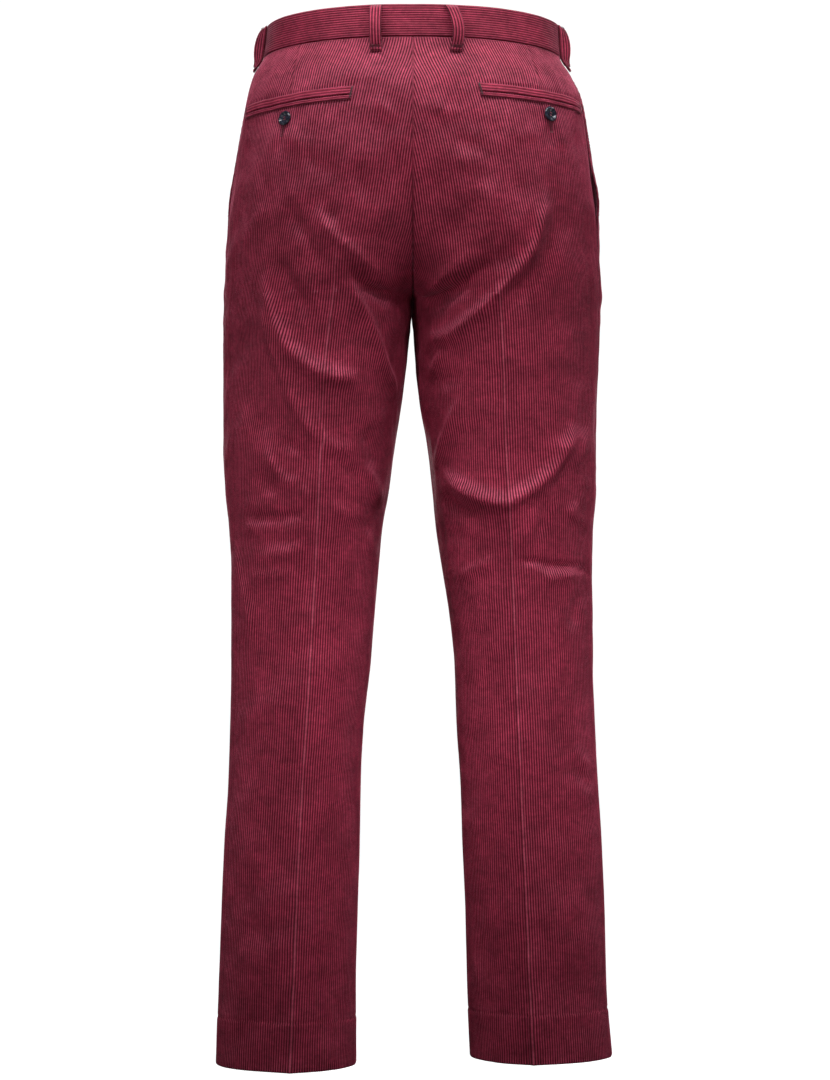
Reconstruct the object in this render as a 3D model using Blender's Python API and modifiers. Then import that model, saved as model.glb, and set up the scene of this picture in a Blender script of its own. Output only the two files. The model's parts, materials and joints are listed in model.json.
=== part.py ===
"""Corduroy velvet trousers, filled out as worn.

Row frame: +Z up, the front faces -Y, the wearer's left is +X.  The origin is the middle of the
waist, half way up the waistband at the sides.  Sizes below are in millimetres; the meshes are in
metres.  Every cloth wall is a loft through horizontal sections: each leg's section is one closed
loop, and above the crotch the two loops cross in the plane x = 0, which cuts them off there and so
gives the curve of the seat seam.
"""
import math

import bmesh
import bpy
import numpy as np

# ---------------------------------------------------------------- driving sizes (mm)
WALL = 1.6            # one thickness of corduroy
HEM_TURN = 50.0       # depth of the turned-up hem, where the wall is double
GAP = 0.3             # between pieces at a seam
BAND_TOP, BAND_LOW = 16.5, -16.5      # waistband edges at the sides
BAND_WALL = 3.0
BACK_LIFT, FRONT_DROP = 7.0, 8.0      # the waist stands higher behind and lower in front
CROTCH_Z = -265.0
HEM_Z = {"L": -1050.0, "R": -1042.0}
EYE_DISTANCE, EYE_HEIGHT = 3400.0, -510.9   # the folds are placed as seen square-on from behind
LOOP_WIDTH, LOOP_WALL = 12.0, 2.0
BUTTON_D, BUTTON_T = 15.2, 3.2

# ---------------------------------------------------------------- sections
# One row per height.  out and in are the loop's outer and inner reach from the middle plane (a
# negative inner reach lies past the middle and is cut off), peak is where the loop reaches furthest
# back, back and front are its depths, tip sharpens the creased front and back, side rounds the side.
SECTIONS = """
z      out_L  in_L   peak_L  out_R  in_R   peak_R  front_peak  back   front  tip   side
 30    149    -149     0     149    -149     0        0        112    109   0.86  0.88
 17    150    -150     0     150    -150     0        0        113    110   0.86  0.88
-17    154    -154     0     152    -152     0        0        118    113   0.87  0.88
-37    165    -165     4     164    -164     4        2        123    116   0.88  0.89
-58    171    -171    10     173    -173    10        4        129    119   0.90  0.90
-99    178    -166    26     180    -166    26       10        137    122   0.93  0.91
-140   184    -145    44     185    -145    44       24        142    121   0.95  0.93
-180   189    -105    58     190    -105    58       42        143    118   0.97  0.95
-220   192     -58    69     192     -58    70       60        139    113   0.99  0.96
-243   193     -30    75     193     -30    78       70        133    110   1.00  0.97
-256   194     -13    78     193     -13    83       75        128    108   1.00  0.98
-265   194       0.3  79     193       0.3  86       79        125    107   1.00  0.98
-290   195       3    82     192       0.6  88       84        120    106   1.02  0.99
-330   195       7    87     191       3    90       89        115    105   1.04  1.00
-370   195      12    91     189       7    92       93        109    103   1.06  1.00
-415   195      19    92     188      15    93       97        102    100   1.08  1.00
-460   193      25    93     188      20    94      100         95     96   1.10  1.00
-500   189      32    96     185      24    98      103         88     91   1.12  1.00
-545   187      36    98     184      31    99      106         80     87   1.14  1.00
-590   187      40   101     185      38   101      108         75     83   1.16  1.00
-640   187      44   104     185      43   104      110         72     79   1.18  1.00
-700   188      51   108     187      45   107      112         69     75   1.20  1.00
-760   190      54   111     190      49   109      115         67     72   1.22  1.00
-820   194      55   115     194      51   112      118         65     69   1.23  1.00
-890   197      57   120     197      54   116      122         64     67   1.24  1.00
-970   200      59   123     199      56   121      126         63     65   1.25  1.00
-1060  203      59   125     206      60   123      128         62     64   1.25  1.00
"""

# Grain: the line of cloth that carries the pressed crease, followed up to the waist, and how far
# behind the middle of the side each side seam runs.
GRAIN = """
z      back_L  back_R  front  seam_L  seam_R
 30      28      24     60      22      30
-17      34      31     66      22      32
-58      47      47     72      24      38
-99      56      59     76      24      40
-140     62      68     80      23      40
-180     68      74     84      22      38
-220     75      80     86      21      34
-265     79      86     87      20      30
-330     87      90     89      16      22
-415     92      93     97       9      12
-500     96      98    103       5       8
-640    104     104    110       2       6
-820    115     112    118       0       5
-1060   125     123    128       0       5
"""

# Largest folds of the back, as seen from behind: a line through three points, its height (a
# negative one is a trough) and its width above and below the line.
FOLDS = """
name           half  x1    z1    x2    z2    x3    z3   height  above  below
under_seat      L   132  -300   103  -330    55  -340     7      10     34
side_edge       L   158  -235   141  -305   112  -395     4       9      9
inner_ridge     L    55  -275    36  -318    14  -365     4       7      9
upper_ridge     L    92  -185    72  -212    36  -238     4       8      9
upper_trough    L    72  -224    45  -252    14  -285    -5      11     12
behind_knee     L   128  -445   108  -460    86  -478     4       9     26
knee_dent       L   170  -487   135  -489    98  -487    -3       9      9
upper_ridge     R   -15  -258   -50  -225   -98  -182     4       8      9
long_trough     R   -25  -270   -62  -238  -108  -208    -5      11     11
long_ridge      R   -20  -292   -70  -275  -120  -210     6       8     12
outer_hollow    R  -100  -280  -125  -240  -142  -200    -4      14     16
behind_knee     R   -28  -445   -92  -475  -150  -415     8      12     34
knee_dent       R  -102  -535  -145  -537  -178  -545    -4       6      6
side_fold       R  -190  -335  -178  -400  -160  -448     3       7      7
"""


def read_table(text):
    """A table as a dict of columns; words stay words, numbers become arrays."""
    lines = [line.split() for line in text.strip().splitlines()]
    table = {}
    for k, name in enumerate(lines[0]):
        column = [line[k] for line in lines[1:]]
        try:
            table[name] = np.array([float(v) for v in column])
        except ValueError:
            table[name] = column
    return table


SECTIONS, GRAIN, FOLDS = read_table(SECTIONS), read_table(GRAIN), read_table(FOLDS)


def smooth(table, name, z):
    """Column `name` at height z, through the rows by a cubic that never overshoots them."""
    h, v = -table["z"], table[name]
    steps = np.diff(v) / np.diff(h)
    slopes = np.zeros(len(v))
    same = steps[:-1] * steps[1:] > 0
    slopes[1:-1][same] = 2 * steps[:-1][same] * steps[1:][same] / (steps[:-1] + steps[1:])[same]
    slopes[0], slopes[-1] = steps[0], steps[-1]
    q = np.clip(-z, h[0], h[-1])
    k = int(np.clip(np.searchsorted(h, q) - 1, 0, len(h) - 2))
    w = h[k + 1] - h[k]
    t = (q - h[k]) / w
    return ((2 * t**3 - 3 * t**2 + 1) * v[k] + (t**3 - 2 * t**2 + t) * w * slopes[k]
            + (3 * t**2 - 2 * t**3) * v[k + 1] + (t**3 - t**2) * w * slopes[k + 1])


def fade(x, lo, hi):
    t = np.clip((x - lo) / (hi - lo), 0.0, 1.0)
    return t * t * (3 - 2 * t)


def fold_height(points, half):
    """How far the folds stand out at points on the back (x is negative on the right half)."""
    near = 1 - points[:, 1] / EYE_DISTANCE
    x = points[:, 0] / near
    z = EYE_HEIGHT + (points[:, 2] - EYE_HEIGHT) / near
    total = np.zeros(len(points))
    for k in range(len(FOLDS["name"])):
        if FOLDS["half"][k] != half:
            continue
        t = np.linspace(0, 1, 33)
        line = [(1 - t)**2 * FOLDS[c + "1"][k] + 2 * t * (1 - t) * FOLDS[c + "2"][k] + t**2 * FOLDS[c + "3"][k]
                for c in "xz"]
        dx, dz = x[:, None] - line[0], z[:, None] - line[1]
        d = np.hypot(dx, dz)
        at = d.argmin(axis=1)
        below = np.take_along_axis(dz, at[:, None], 1)[:, 0] < 0
        width = np.where(below, FOLDS["below"][k], FOLDS["above"][k])
        ends = fade(at / 32, -0.02, 0.25) * fade(1 - at / 32, -0.02, 0.25)
        total += FOLDS["height"][k] * ends * np.exp(-(d.min(axis=1) / width)**2)
    return total


def raw_loop(half, z, count=72):
    """The section at height z as points from the inner end round the back, side and front."""
    row = {c: smooth(SECTIONS, f"{c}_{half}", z) for c in ("out", "in", "peak")}
    row.update({c: smooth(SECTIONS, c, z) for c in ("front_peak", "back", "front", "tip", "side")})
    cut = GAP / 2
    inner, outer = row["in"], row["out"]
    xs, ys = [], []
    for peak, depth, order in ((row["peak"], row["back"], 1), (row["front_peak"], -row["front"], -1)):
        peak = max(peak, cut + 0.01)
        end = math.pi / 2
        if inner < cut:
            end = math.asin(min(1.0, ((peak - cut) / (peak - inner)) ** (1 / row["tip"])))
        t_in = np.linspace(end, 0, count)
        t_out = np.linspace(0, math.pi / 2, count)
        x = np.concatenate([peak - (peak - inner) * np.sin(t_in) ** row["tip"],
                            peak + (outer - peak) * np.sin(t_out[1:]) ** row["tip"]])
        y = depth * np.concatenate([np.abs(np.cos(t_in)) ** row["side"], np.abs(np.cos(t_out[1:])) ** row["side"]])
        xs.append(x[::order])
        ys.append(y[::order])
    x = np.concatenate([xs[0], xs[1][1:]])
    y = np.concatenate([ys[0], ys[1][1:]])
    # the waist line: higher behind, lower in front, level from 140 mm down
    lift = np.where(y > 0, BACK_LIFT * (y / row["back"])**2, -FRONT_DROP * (y / row["front"])**2)
    zz = z + lift * fade(z, -150.0, -15.0)
    return np.stack([x if half == "L" else -x, y, zz], axis=1)


def loop(half, z):
    """raw_loop with its outward normals and running length, folds included."""
    here, up, down = raw_loop(half, z), raw_loop(half, z + 1.0), raw_loop(half, z - 1.0)
    along = np.gradient(here, axis=0)
    normal = np.cross(along, up - down)
    normal *= -1 if half == "L" else 1
    normal /= np.linalg.norm(normal, axis=1)[:, None] + 1e-12
    flat = np.hypot(normal[:, 0], normal[:, 1])
    out = fade(normal[:, 1] / np.maximum(flat, 1e-6), 0.1, 0.5) * fade(-z, 120, 190)
    # folds run out towards the seat seam and the inseam
    out = out * fade(np.abs(here[:, 0]) - max(smooth(SECTIONS, f"in_{half}", z), 0.0), 4.0, 34.0)
    here = here + normal * (fold_height(here, half) * out)[:, None]
    length = np.concatenate([[0], np.cumsum(np.hypot(*np.diff(here[:, :2], axis=0).T))])
    return here, normal, length


def stations(half, face, z):
    """Running lengths of one panel's inner edge, crease and side edge at height z."""
    here, _, length = loop(half, z)
    middle = int(np.abs(here[:, 0]).argmax())
    sign = 1 if half == "L" else -1
    back_side = np.arange(len(here)) <= middle
    grain = smooth(GRAIN, "front" if face == "front" else f"back_{half}", z)
    side_y = smooth(GRAIN, f"seam_{half}", z)
    y_back = np.where(back_side, here[:, 1], 1e9)
    start = int(here[:, 1].argmax())
    seam = start + int(np.abs(y_back[start:middle + 1] - side_y).argmin())
    s_seam = np.interp(-side_y, -here[start:middle + 1, 1], length[start:middle + 1])
    x = sign * here[:, 0]
    if face == "back":
        k = np.arange(int(0), seam)
        k = k[here[k, 1] > 0.3 * here[:, 1].max()]
        order = np.argsort(x[k])
        s_crease = np.interp(grain, x[k][order], length[k][order])
        return 0.0, s_crease, s_seam
    k = np.arange(middle, len(here))
    k = k[here[k, 1] < 0.3 * here[:, 1].min()]
    order = np.argsort(x[k])
    s_crease = np.interp(grain, x[k][order], length[k][order])
    return length[-1], s_crease, s_seam


def pocket_mouth(z):
    """How far in front of the side seam the slanted pocket mouth runs."""
    return 38.0 * np.clip((z + 186.0) / 170.0, 0.0, 1.0)


def point(half, z, s, out=0.0):
    here, normal, length = loop(half, z)
    p = np.array([np.interp(s, length, here[:, k]) for k in range(3)])
    n = np.array([np.interp(s, length, normal[:, k]) for k in range(3)])
    n /= np.linalg.norm(n)
    return p + n * out, n


# ---------------------------------------------------------------- meshes
def clear_scene():
    for obj in list(bpy.data.objects):
        bpy.data.objects.remove(obj, do_unlink=True)


def material(name, colour, roughness, metallic=0.0):
    mat = bpy.data.materials.new(name)
    mat.use_nodes = True
    shader = mat.node_tree.nodes["Principled BSDF"]
    shader.inputs["Base Color"].default_value = (*colour, 1.0)
    shader.inputs["Roughness"].default_value = roughness
    shader.inputs["Metallic"].default_value = metallic
    return mat


def add_object(name, mesh, mat, smooth_angle=0.6):
    mesh.materials.append(mat)
    mesh.shade_smooth()
    mesh.set_sharp_from_angle(angle=smooth_angle)
    obj = bpy.data.objects.new(name, mesh)
    PARTS.objects.link(obj)
    return obj


def wall(name, outer, inner, mat):
    """A closed wall between two grids of points of the same size (rows down, columns across)."""
    rows, cols = outer.shape[:2]
    bm = bmesh.new()
    grids = []
    for grid in (outer, inner):
        grids.append([[bm.verts.new(grid[i, j] * 0.001) for j in range(cols)] for i in range(rows)])
    a, b = grids
    for i in range(rows - 1):
        for j in range(cols - 1):
            bm.faces.new((a[i][j], a[i + 1][j], a[i + 1][j + 1], a[i][j + 1]))
            bm.faces.new((b[i][j], b[i][j + 1], b[i + 1][j + 1], b[i + 1][j]))
    for j in range(cols - 1):
        bm.faces.new((a[0][j], a[0][j + 1], b[0][j + 1], b[0][j]))
        bm.faces.new((a[-1][j], b[-1][j], b[-1][j + 1], a[-1][j + 1]))
    for i in range(rows - 1):
        bm.faces.new((a[i][0], b[i][0], b[i + 1][0], a[i + 1][0]))
        bm.faces.new((a[i][-1], a[i + 1][-1], b[i + 1][-1], b[i][-1]))
    bmesh.ops.recalc_face_normals(bm, faces=bm.faces)
    mesh = bpy.data.meshes.new(name)
    bm.to_mesh(mesh)
    bm.free()
    return add_object(name, mesh, mat)


def panel_rows(half):
    """Heights of a panel's rows, closer at the crotch and the folds."""
    seat = [BAND_LOW - GAP, -42, -70, -100, -130, -160, -188, -212, -232, -246, -256, -262, CROTCH_Z]
    thigh = [-275, -294, -316, -340, -366, -394, -424, -454, -484, -512, -545, -585, -630]
    lower = [-690, -755, -820, -885, -950]
    hem = HEM_Z[half]
    return seat + thigh + lower + [hem + HEM_TURN + 1.5, hem + HEM_TURN - 1.5, hem]


def panel(half, face, mat):
    outer, inner = [], []
    steps_in, steps_out = 6, 6
    for z in panel_rows(half):
        here, normal, length = loop(half, z)
        s_in, s_crease, s_side = stations(half, face, z)
        toward = 1 if face == "front" else -1
        s_side = s_side + toward * GAP / 2
        if face == "front":
            s_side += pocket_mouth(z)
        if smooth(SECTIONS, f"in_{half}", z) > 0.2:
            s_in -= toward * GAP / 2
        s = np.concatenate([np.linspace(s_in, s_crease, steps_in + 1),
                            np.linspace(s_crease, s_side, steps_out + 1)[1:]])
        p = np.stack([np.interp(s, length, here[:, k]) for k in range(3)], axis=1)
        n = np.stack([np.interp(s, length, normal[:, k]) for k in range(3)], axis=1)
        n /= np.linalg.norm(n, axis=1)[:, None]
        # pressed crease
        p += n * (2.0 * np.exp(-np.abs(s - s_crease) / 6.0) * fade(-z, 190, 300))[:, None]
        if face == "front":
            # the mouth of the side pocket stands a little open
            gape = {"L": 1.5, "R": 4.5}[half] * math.exp(-((z + 160) / 28)**2)
            p += n * (gape * np.exp(-np.abs(s - s_side) / 18.0))[:, None]
            if z > -185:      # fly lap: the left front passes over the right
                if half == "L":
                    p += n * (2.4 * np.exp(-(np.abs(s - s_in) / 14.0)**2) * fade(z, -200, -170))[:, None]
        depth = WALL * (2.0 if z < HEM_Z[half] + HEM_TURN else 1.0)
        outer.append(p)
        inner.append(p - n * depth)
    outer, inner = np.array(outer), np.array(inner)
    if face == "front" and half == "L":
        # the lap reaches 7 mm past the middle down to the foot of the fly
        for i, z in enumerate(panel_rows(half)):
            reach = 7.0 * fade(z, -160, -130)
            outer[i, 0, 0] -= reach
            inner[i, 0, 0] -= reach
    return wall(f"{face}_{'left' if half == 'L' else 'right'}", outer, inner, mat)


def side_pocket(half, mat):
    """The cloth behind the slanted pocket mouth, from the side seam to under the front panel."""
    outer, inner = [], []
    for z in np.linspace(BAND_LOW - GAP, -200.0, 9):
        here, normal, length = loop(half, z)
        _, _, s_seam = stations(half, "front", z)
        mouth = pocket_mouth(z)
        # under the front panel it lies clear of that panel's inner face
        s = s_seam + GAP / 2 + np.array([0.0, 0.45, 0.85, 1.0, 1.0]) * mouth + np.array([0.0, 0.0, 0.0, 6.0, 14.0])
        sink = np.array([0.0, 0.9, 2.6, 3.4, 3.4])
        if mouth < 12.0:
            sink = np.maximum(sink, 3.4 * (1 - mouth / 12.0))
        p = np.stack([np.interp(s, length, here[:, k]) for k in range(3)], axis=1)
        n = np.stack([np.interp(s, length, normal[:, k]) for k in range(3)], axis=1)
        n /= np.linalg.norm(n, axis=1)[:, None]
        outer.append(p - n * sink[:, None])
        inner.append(p - n * (sink[:, None] + 1.2))
    return wall(f"side_pocket_{'left' if half == 'L' else 'right'}", np.array(outer), np.array(inner), mat)


def waistband(mat):
    """One strip from the right front end round the back to the left front end, which laps over."""
    tab = 38.0
    rows = []
    for z in (BAND_TOP, 5.5, -5.5, BAND_LOW):
        line, normals = [], []
        for half, direction in (("R", -1), ("L", 1)):
            here, normal, length = loop(half, z)
            s = np.linspace(0, length[-1], 22)[::direction]
            p = np.stack([np.interp(s, length, here[:, k]) for k in range(3)], axis=1)
            n = np.stack([np.interp(s, length, normal[:, k]) for k in range(3)], axis=1)
            if half == "L":
                p, n = p[1:], n[1:]
            line.append(p)
            normals.append(n)
        p, n = np.concatenate(line), np.concatenate(normals)
        # the left end rises over the right one and runs on past the middle
        length = np.concatenate([[0], np.cumsum(np.linalg.norm(np.diff(p, axis=0), axis=1))])
        rise = 3.7 * fade(length, length[-1] - 45.0, length[-1] - 4.0)
        p = p + n * rise[:, None]
        here, normal, run = loop("R", z)
        for d in (13.0, 26.0, tab):
            q = np.array([np.interp(run[-1] - d, run, here[:, k]) for k in range(3)])
            m = np.array([np.interp(run[-1] - d, run, normal[:, k]) for k in range(3)])
            p = np.vstack([p, q + m * 3.7])
            n = np.vstack([n, m])
        n /= np.linalg.norm(n, axis=1)[:, None]
        rows.append((p, n))
    outer = np.array([p for p, _ in rows])
    inner = np.array([p - n * BAND_WALL for p, n in rows])
    return wall("waistband", outer, inner, mat)


def belt_loop(name, half, z_span, s_from, lean, stand, mat):
    """A strap bowed off the waistband, both ends sewn down; made from the cloth's own points."""
    top, low = z_span
    outer, inner = [], []
    for f in np.linspace(0, 1, 11):
        z = top + (low - top) * f
        s = s_from(z) + lean * f
        p, n = point(half, z, s)
        flat = np.array([n[0], n[1], 0.0])
        flat /= np.linalg.norm(flat)
        across = np.cross(flat, (0.0, 0.0, 1.0))
        bow = stand * (math.sin(math.pi * min(1.0, max(0.0, f * 1.12 - 0.02)))) ** 0.55 if f < 0.9 else 0.0
        base = p + flat * (0.9 + bow)
        offsets = np.array([-0.5, 0.0, 0.5]) * LOOP_WIDTH
        inner.append([base + across * o for o in offsets])
        outer.append([base + across * o + flat * LOOP_WALL for o in offsets])
    return wall(name, np.array(outer), np.array(inner), mat)


def jet(name, half, span, z_line, above, low, mat):
    """One lip of a back pocket, made from the back panel's points, moved out."""
    outer, inner = [], []
    for edge in (above, (above + low) / 2, low):
        p_row, q_row = [], []
        for f in np.linspace(0, 1, 15):
            z = z_line[0] + (z_line[1] - z_line[0]) * f + edge
            _, s_crease, _ = stations(half, "back", z)
            s = s_crease + span[0] + (span[1] - span[0]) * f
            p, n = point(half, z, s)
            p_row.append(p + n * 2.4)
            q_row.append(p + n * 0.9)
        outer.append(p_row)
        inner.append(q_row)
    return wall(name, np.array(outer), np.array(inner), mat)


def button(name, centre, normal, mat):
    """A turned four-hole button: flat underneath, a raised rim and a dished middle."""
    r, t = BUTTON_D / 2, BUTTON_T
    profile = [(0.0, 1.7), (3.3, 1.6), (4.9, 2.3), (5.6, t), (6.6, t), (r, 2.3), (r, 1.2), (6.4, 0.2), (0.0, 0.2)]
    mesh = bpy.data.meshes.new(name)
    bm = bmesh.new()
    verts = [bm.verts.new((x * 0.001, 0.0, y * 0.001)) for x, y in profile]
    for a, b in zip(verts, verts[1:]):
        bm.edges.new((a, b))
    bm.to_mesh(mesh)
    bm.free()
    obj = add_object(name, mesh, mat)
    screw = obj.modifiers.new("turn", "SCREW")
    screw.axis, screw.angle = "Z", math.tau
    screw.steps = screw.render_steps = 24
    screw.use_merge_vertices, screw.merge_threshold = True, 0.00001
    screw.use_normal_calculate = True
    for k in range(4):
        bpy.ops.mesh.primitive_cylinder_add(vertices=8, radius=0.0009, depth=0.008)
        pin = bpy.context.object
        pin.name = f"{name}_hole_{k}"
        turn = math.radians(45 + 90 * k)
        pin.location = (0.0019 * math.cos(turn), 0.0019 * math.sin(turn), 0.002)
        pin.parent = obj
        pin.hide_render, pin.display_type = True, "WIRE"
        for c in list(pin.users_collection):
            c.objects.unlink(pin)
        CUTTERS.objects.link(pin)
        cut = obj.modifiers.new(f"hole_{k}", "BOOLEAN")
        cut.operation, cut.object = "DIFFERENCE", pin
    n = np.array(normal)
    yaw = math.atan2(n[1], n[0])
    pitch = math.acos(max(-1.0, min(1.0, n[2] / np.linalg.norm(n))))
    obj.rotation_euler = (0.0, pitch, yaw)
    obj.location = tuple(np.array(centre) * 0.001)
    return obj


def fly_zip(mat):
    """Closed zip behind the fly: two tapes, the chain down their middle and the slider on top."""
    # half widths and depths of the section, from the tape's edge to the chain
    tape, chain, thick, proud = 13.0, 2.6, 1.0, 1.1
    rows = []
    heights = [-30, -31, -38, -39.5, -60, -85, -110, -135, -160, -175]
    for k, z in enumerate(heights):
        slider = k in (1, 2)
        half_chain = 4.4 if slider else chain
        lift = 2.0 if slider else proud
        ring = []
        for x, d in ((-tape, 0.0), (-half_chain - 0.4, 0.0), (-half_chain, lift), (half_chain, lift),
                     (half_chain + 0.4, 0.0), (tape, 0.0), (tape, -thick), (-tape, -thick)):
            half = "L" if x >= 0 else "R"
            here, _, length = loop(half, z)
            y = np.interp(length[-1] - abs(x), length, here[:, 1])
            zz = np.interp(length[-1] - abs(x), length, here[:, 2])
            ring.append((x, y + 5.4 - d, zz))
        rows.append(ring)
    bm = bmesh.new()
    rings = [[bm.verts.new(np.array(p) * 0.001) for p in ring] for ring in rows]
    for a, b in zip(rings, rings[1:]):
        for j in range(8):
            bm.faces.new((a[j], a[(j + 1) % 8], b[(j + 1) % 8], b[j]))
    bm.faces.new(rings[0])
    bm.faces.new(rings[-1][::-1])
    bmesh.ops.recalc_face_normals(bm, faces=bm.faces)
    mesh = bpy.data.meshes.new("fly_zip")
    bm.to_mesh(mesh)
    bm.free()
    return add_object("fly_zip", mesh, mat)


# ---------------------------------------------------------------- the trousers
clear_scene()
PARTS = bpy.data.collections.new("velvet_trousers")
CUTTERS = bpy.data.collections.new("cutters")
for collection in (PARTS, CUTTERS):
    bpy.context.scene.collection.children.link(collection)

velvet = material("wine_velvet", (0.19, 0.022, 0.055), 0.9)
navy = material("navy_button", (0.012, 0.016, 0.035), 0.25)
tape = material("zip_tape", (0.07, 0.01, 0.02), 0.8)

for half in "LR":
    panel(half, "back", velvet)
    panel(half, "front", velvet)
    side_pocket(half, velvet)
waistband(velvet)

# belt loops: where along the section each one sits
LOOP_SPAN = (15.5, -31.0)


def back_at(half, x):
    def s_of(z):
        here, _, length = loop(half, z)
        k = np.arange(int(np.abs(here[:, 0]).argmax()))
        return float(np.interp(x, np.abs(here[k, 0]), length[k]))
    return s_of


def side_at(half, y):
    def s_of(z):
        here, _, length = loop(half, z)
        k = np.arange(int(here[:, 1].argmax()), int(np.abs(here[:, 0]).argmax()) + 1)
        return float(np.interp(-y, -here[k, 1], length[k]))
    return s_of


def front_at(half, x):
    def s_of(z):
        here, _, length = loop(half, z)
        k = np.arange(int(np.abs(here[:, 0]).argmax()), len(here))[::-1]
        return float(np.interp(x, np.abs(here[k, 0]), length[k]))
    return s_of


belt_loop("belt_loop_back_left", "L", LOOP_SPAN, back_at("L", 36.5), 0.0, 8.0, velvet)
belt_loop("belt_loop_back_right", "R", LOOP_SPAN, back_at("R", 37.5), 5.0, 8.0, velvet)
belt_loop("belt_loop_side_left", "L", LOOP_SPAN, side_at("L", 16.0), 0.0, 9.0, velvet)
belt_loop("belt_loop_side_right", "R", LOOP_SPAN, side_at("R", 20.0), 0.0, 9.0, velvet)
belt_loop("belt_loop_front_left", "L", LOOP_SPAN, front_at("L", 68.0), 0.0, 9.5, velvet)
belt_loop("belt_loop_front_right", "R", LOOP_SPAN, front_at("R", 68.0), 0.0, 9.5, velvet)

# back pockets: reach along the cloth from the grain line, height of the mouth at both ends
POCKETS = {"L": ((9.0, 146.0), (-74.5, -81.0)), "R": ((15.0, 150.0), (-71.0, -75.0))}
BUTTONS = {"L": (125.5, -93.0), "R": (134.5, -88.0)}
for half, side in (("L", "left"), ("R", "right")):
    span, z_line = POCKETS[half]
    jet(f"back_pocket_{side}_upper", half, span, z_line, 8.5, 0.3, velvet)
    jet(f"back_pocket_{side}_lower", half, span, z_line, -0.3, -4.3, velvet)
    x, z = BUTTONS[half]
    s = back_at(half, x)(z)
    centre, normal = point(half, z, s, 0.5)
    button(f"back_pocket_{side}_button", centre, normal, navy)

here, normal, length = loop("R", 0.0)
spot = length[-1] - 22.0
centre = np.array([np.interp(spot, length, here[:, k]) for k in range(3)])
facing = np.array([np.interp(spot, length, normal[:, k]) for k in range(3)])
button("waist_button", centre + facing * 4.2, facing, navy)
fly_zip(tape)
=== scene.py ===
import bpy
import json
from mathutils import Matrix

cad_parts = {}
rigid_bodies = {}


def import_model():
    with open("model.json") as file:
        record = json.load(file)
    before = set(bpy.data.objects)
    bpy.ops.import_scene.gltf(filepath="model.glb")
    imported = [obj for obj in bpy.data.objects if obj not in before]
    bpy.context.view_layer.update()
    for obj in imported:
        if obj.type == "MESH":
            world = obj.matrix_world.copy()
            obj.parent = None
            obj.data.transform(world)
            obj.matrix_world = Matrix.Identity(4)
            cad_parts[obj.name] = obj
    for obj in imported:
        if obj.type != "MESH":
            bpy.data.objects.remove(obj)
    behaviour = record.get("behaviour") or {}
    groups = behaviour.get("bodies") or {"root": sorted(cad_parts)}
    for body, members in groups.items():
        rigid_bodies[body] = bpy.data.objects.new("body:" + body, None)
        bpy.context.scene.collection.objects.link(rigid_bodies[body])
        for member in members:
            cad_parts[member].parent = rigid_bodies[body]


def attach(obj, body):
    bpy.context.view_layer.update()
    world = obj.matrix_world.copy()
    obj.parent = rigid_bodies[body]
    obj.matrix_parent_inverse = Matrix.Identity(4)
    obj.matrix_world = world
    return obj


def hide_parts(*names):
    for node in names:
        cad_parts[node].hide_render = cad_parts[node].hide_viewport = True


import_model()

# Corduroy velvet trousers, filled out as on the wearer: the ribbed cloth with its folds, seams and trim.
"""Corduroy velvet trousers, filled out as worn: the ribbed cloth with its folds, seams and trim.

The cloth is laid out as it was cut: every rib runs along the grain, parallel to the pressed crease,
and ends where the seams cut it off.  Sizes are in millimetres until a mesh is made.
"""
import json
import math

import bpy
import numpy as np

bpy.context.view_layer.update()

# ---------------------------------------------------------------- driving sizes (mm)
WALL = 1.6
HEM_TURN = 50.0
GAP = 0.1              # the seams are drawn closed, over the solids' 0.3
BAND_TOP, BAND_LOW = 16.5, -16.5
BAND_WALL = 3.0
BACK_LIFT, FRONT_DROP = 7.0, 8.0
CROTCH_Z = -265.0
HEM_Z = {"L": -1050.0, "R": -1042.0}
EYE_DISTANCE, EYE_HEIGHT = 3400.0, -510.9
LOOP_WIDTH, LOOP_WALL = 12.0, 2.0
BUTTON_D, BUTTON_T = 15.2, 3.2
PITCH = 2.6           # one rib of the cloth
RIB = 0.70            # its height
RIB_SHAPE = ((0.0, 0.0), (0.24, 0.64), (0.50, 1.0), (0.76, 0.64))
VIEW_STEP, VIEW_MIDDLE = 1.03, 413.0   # the fold chart's unit, and its middle

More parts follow.
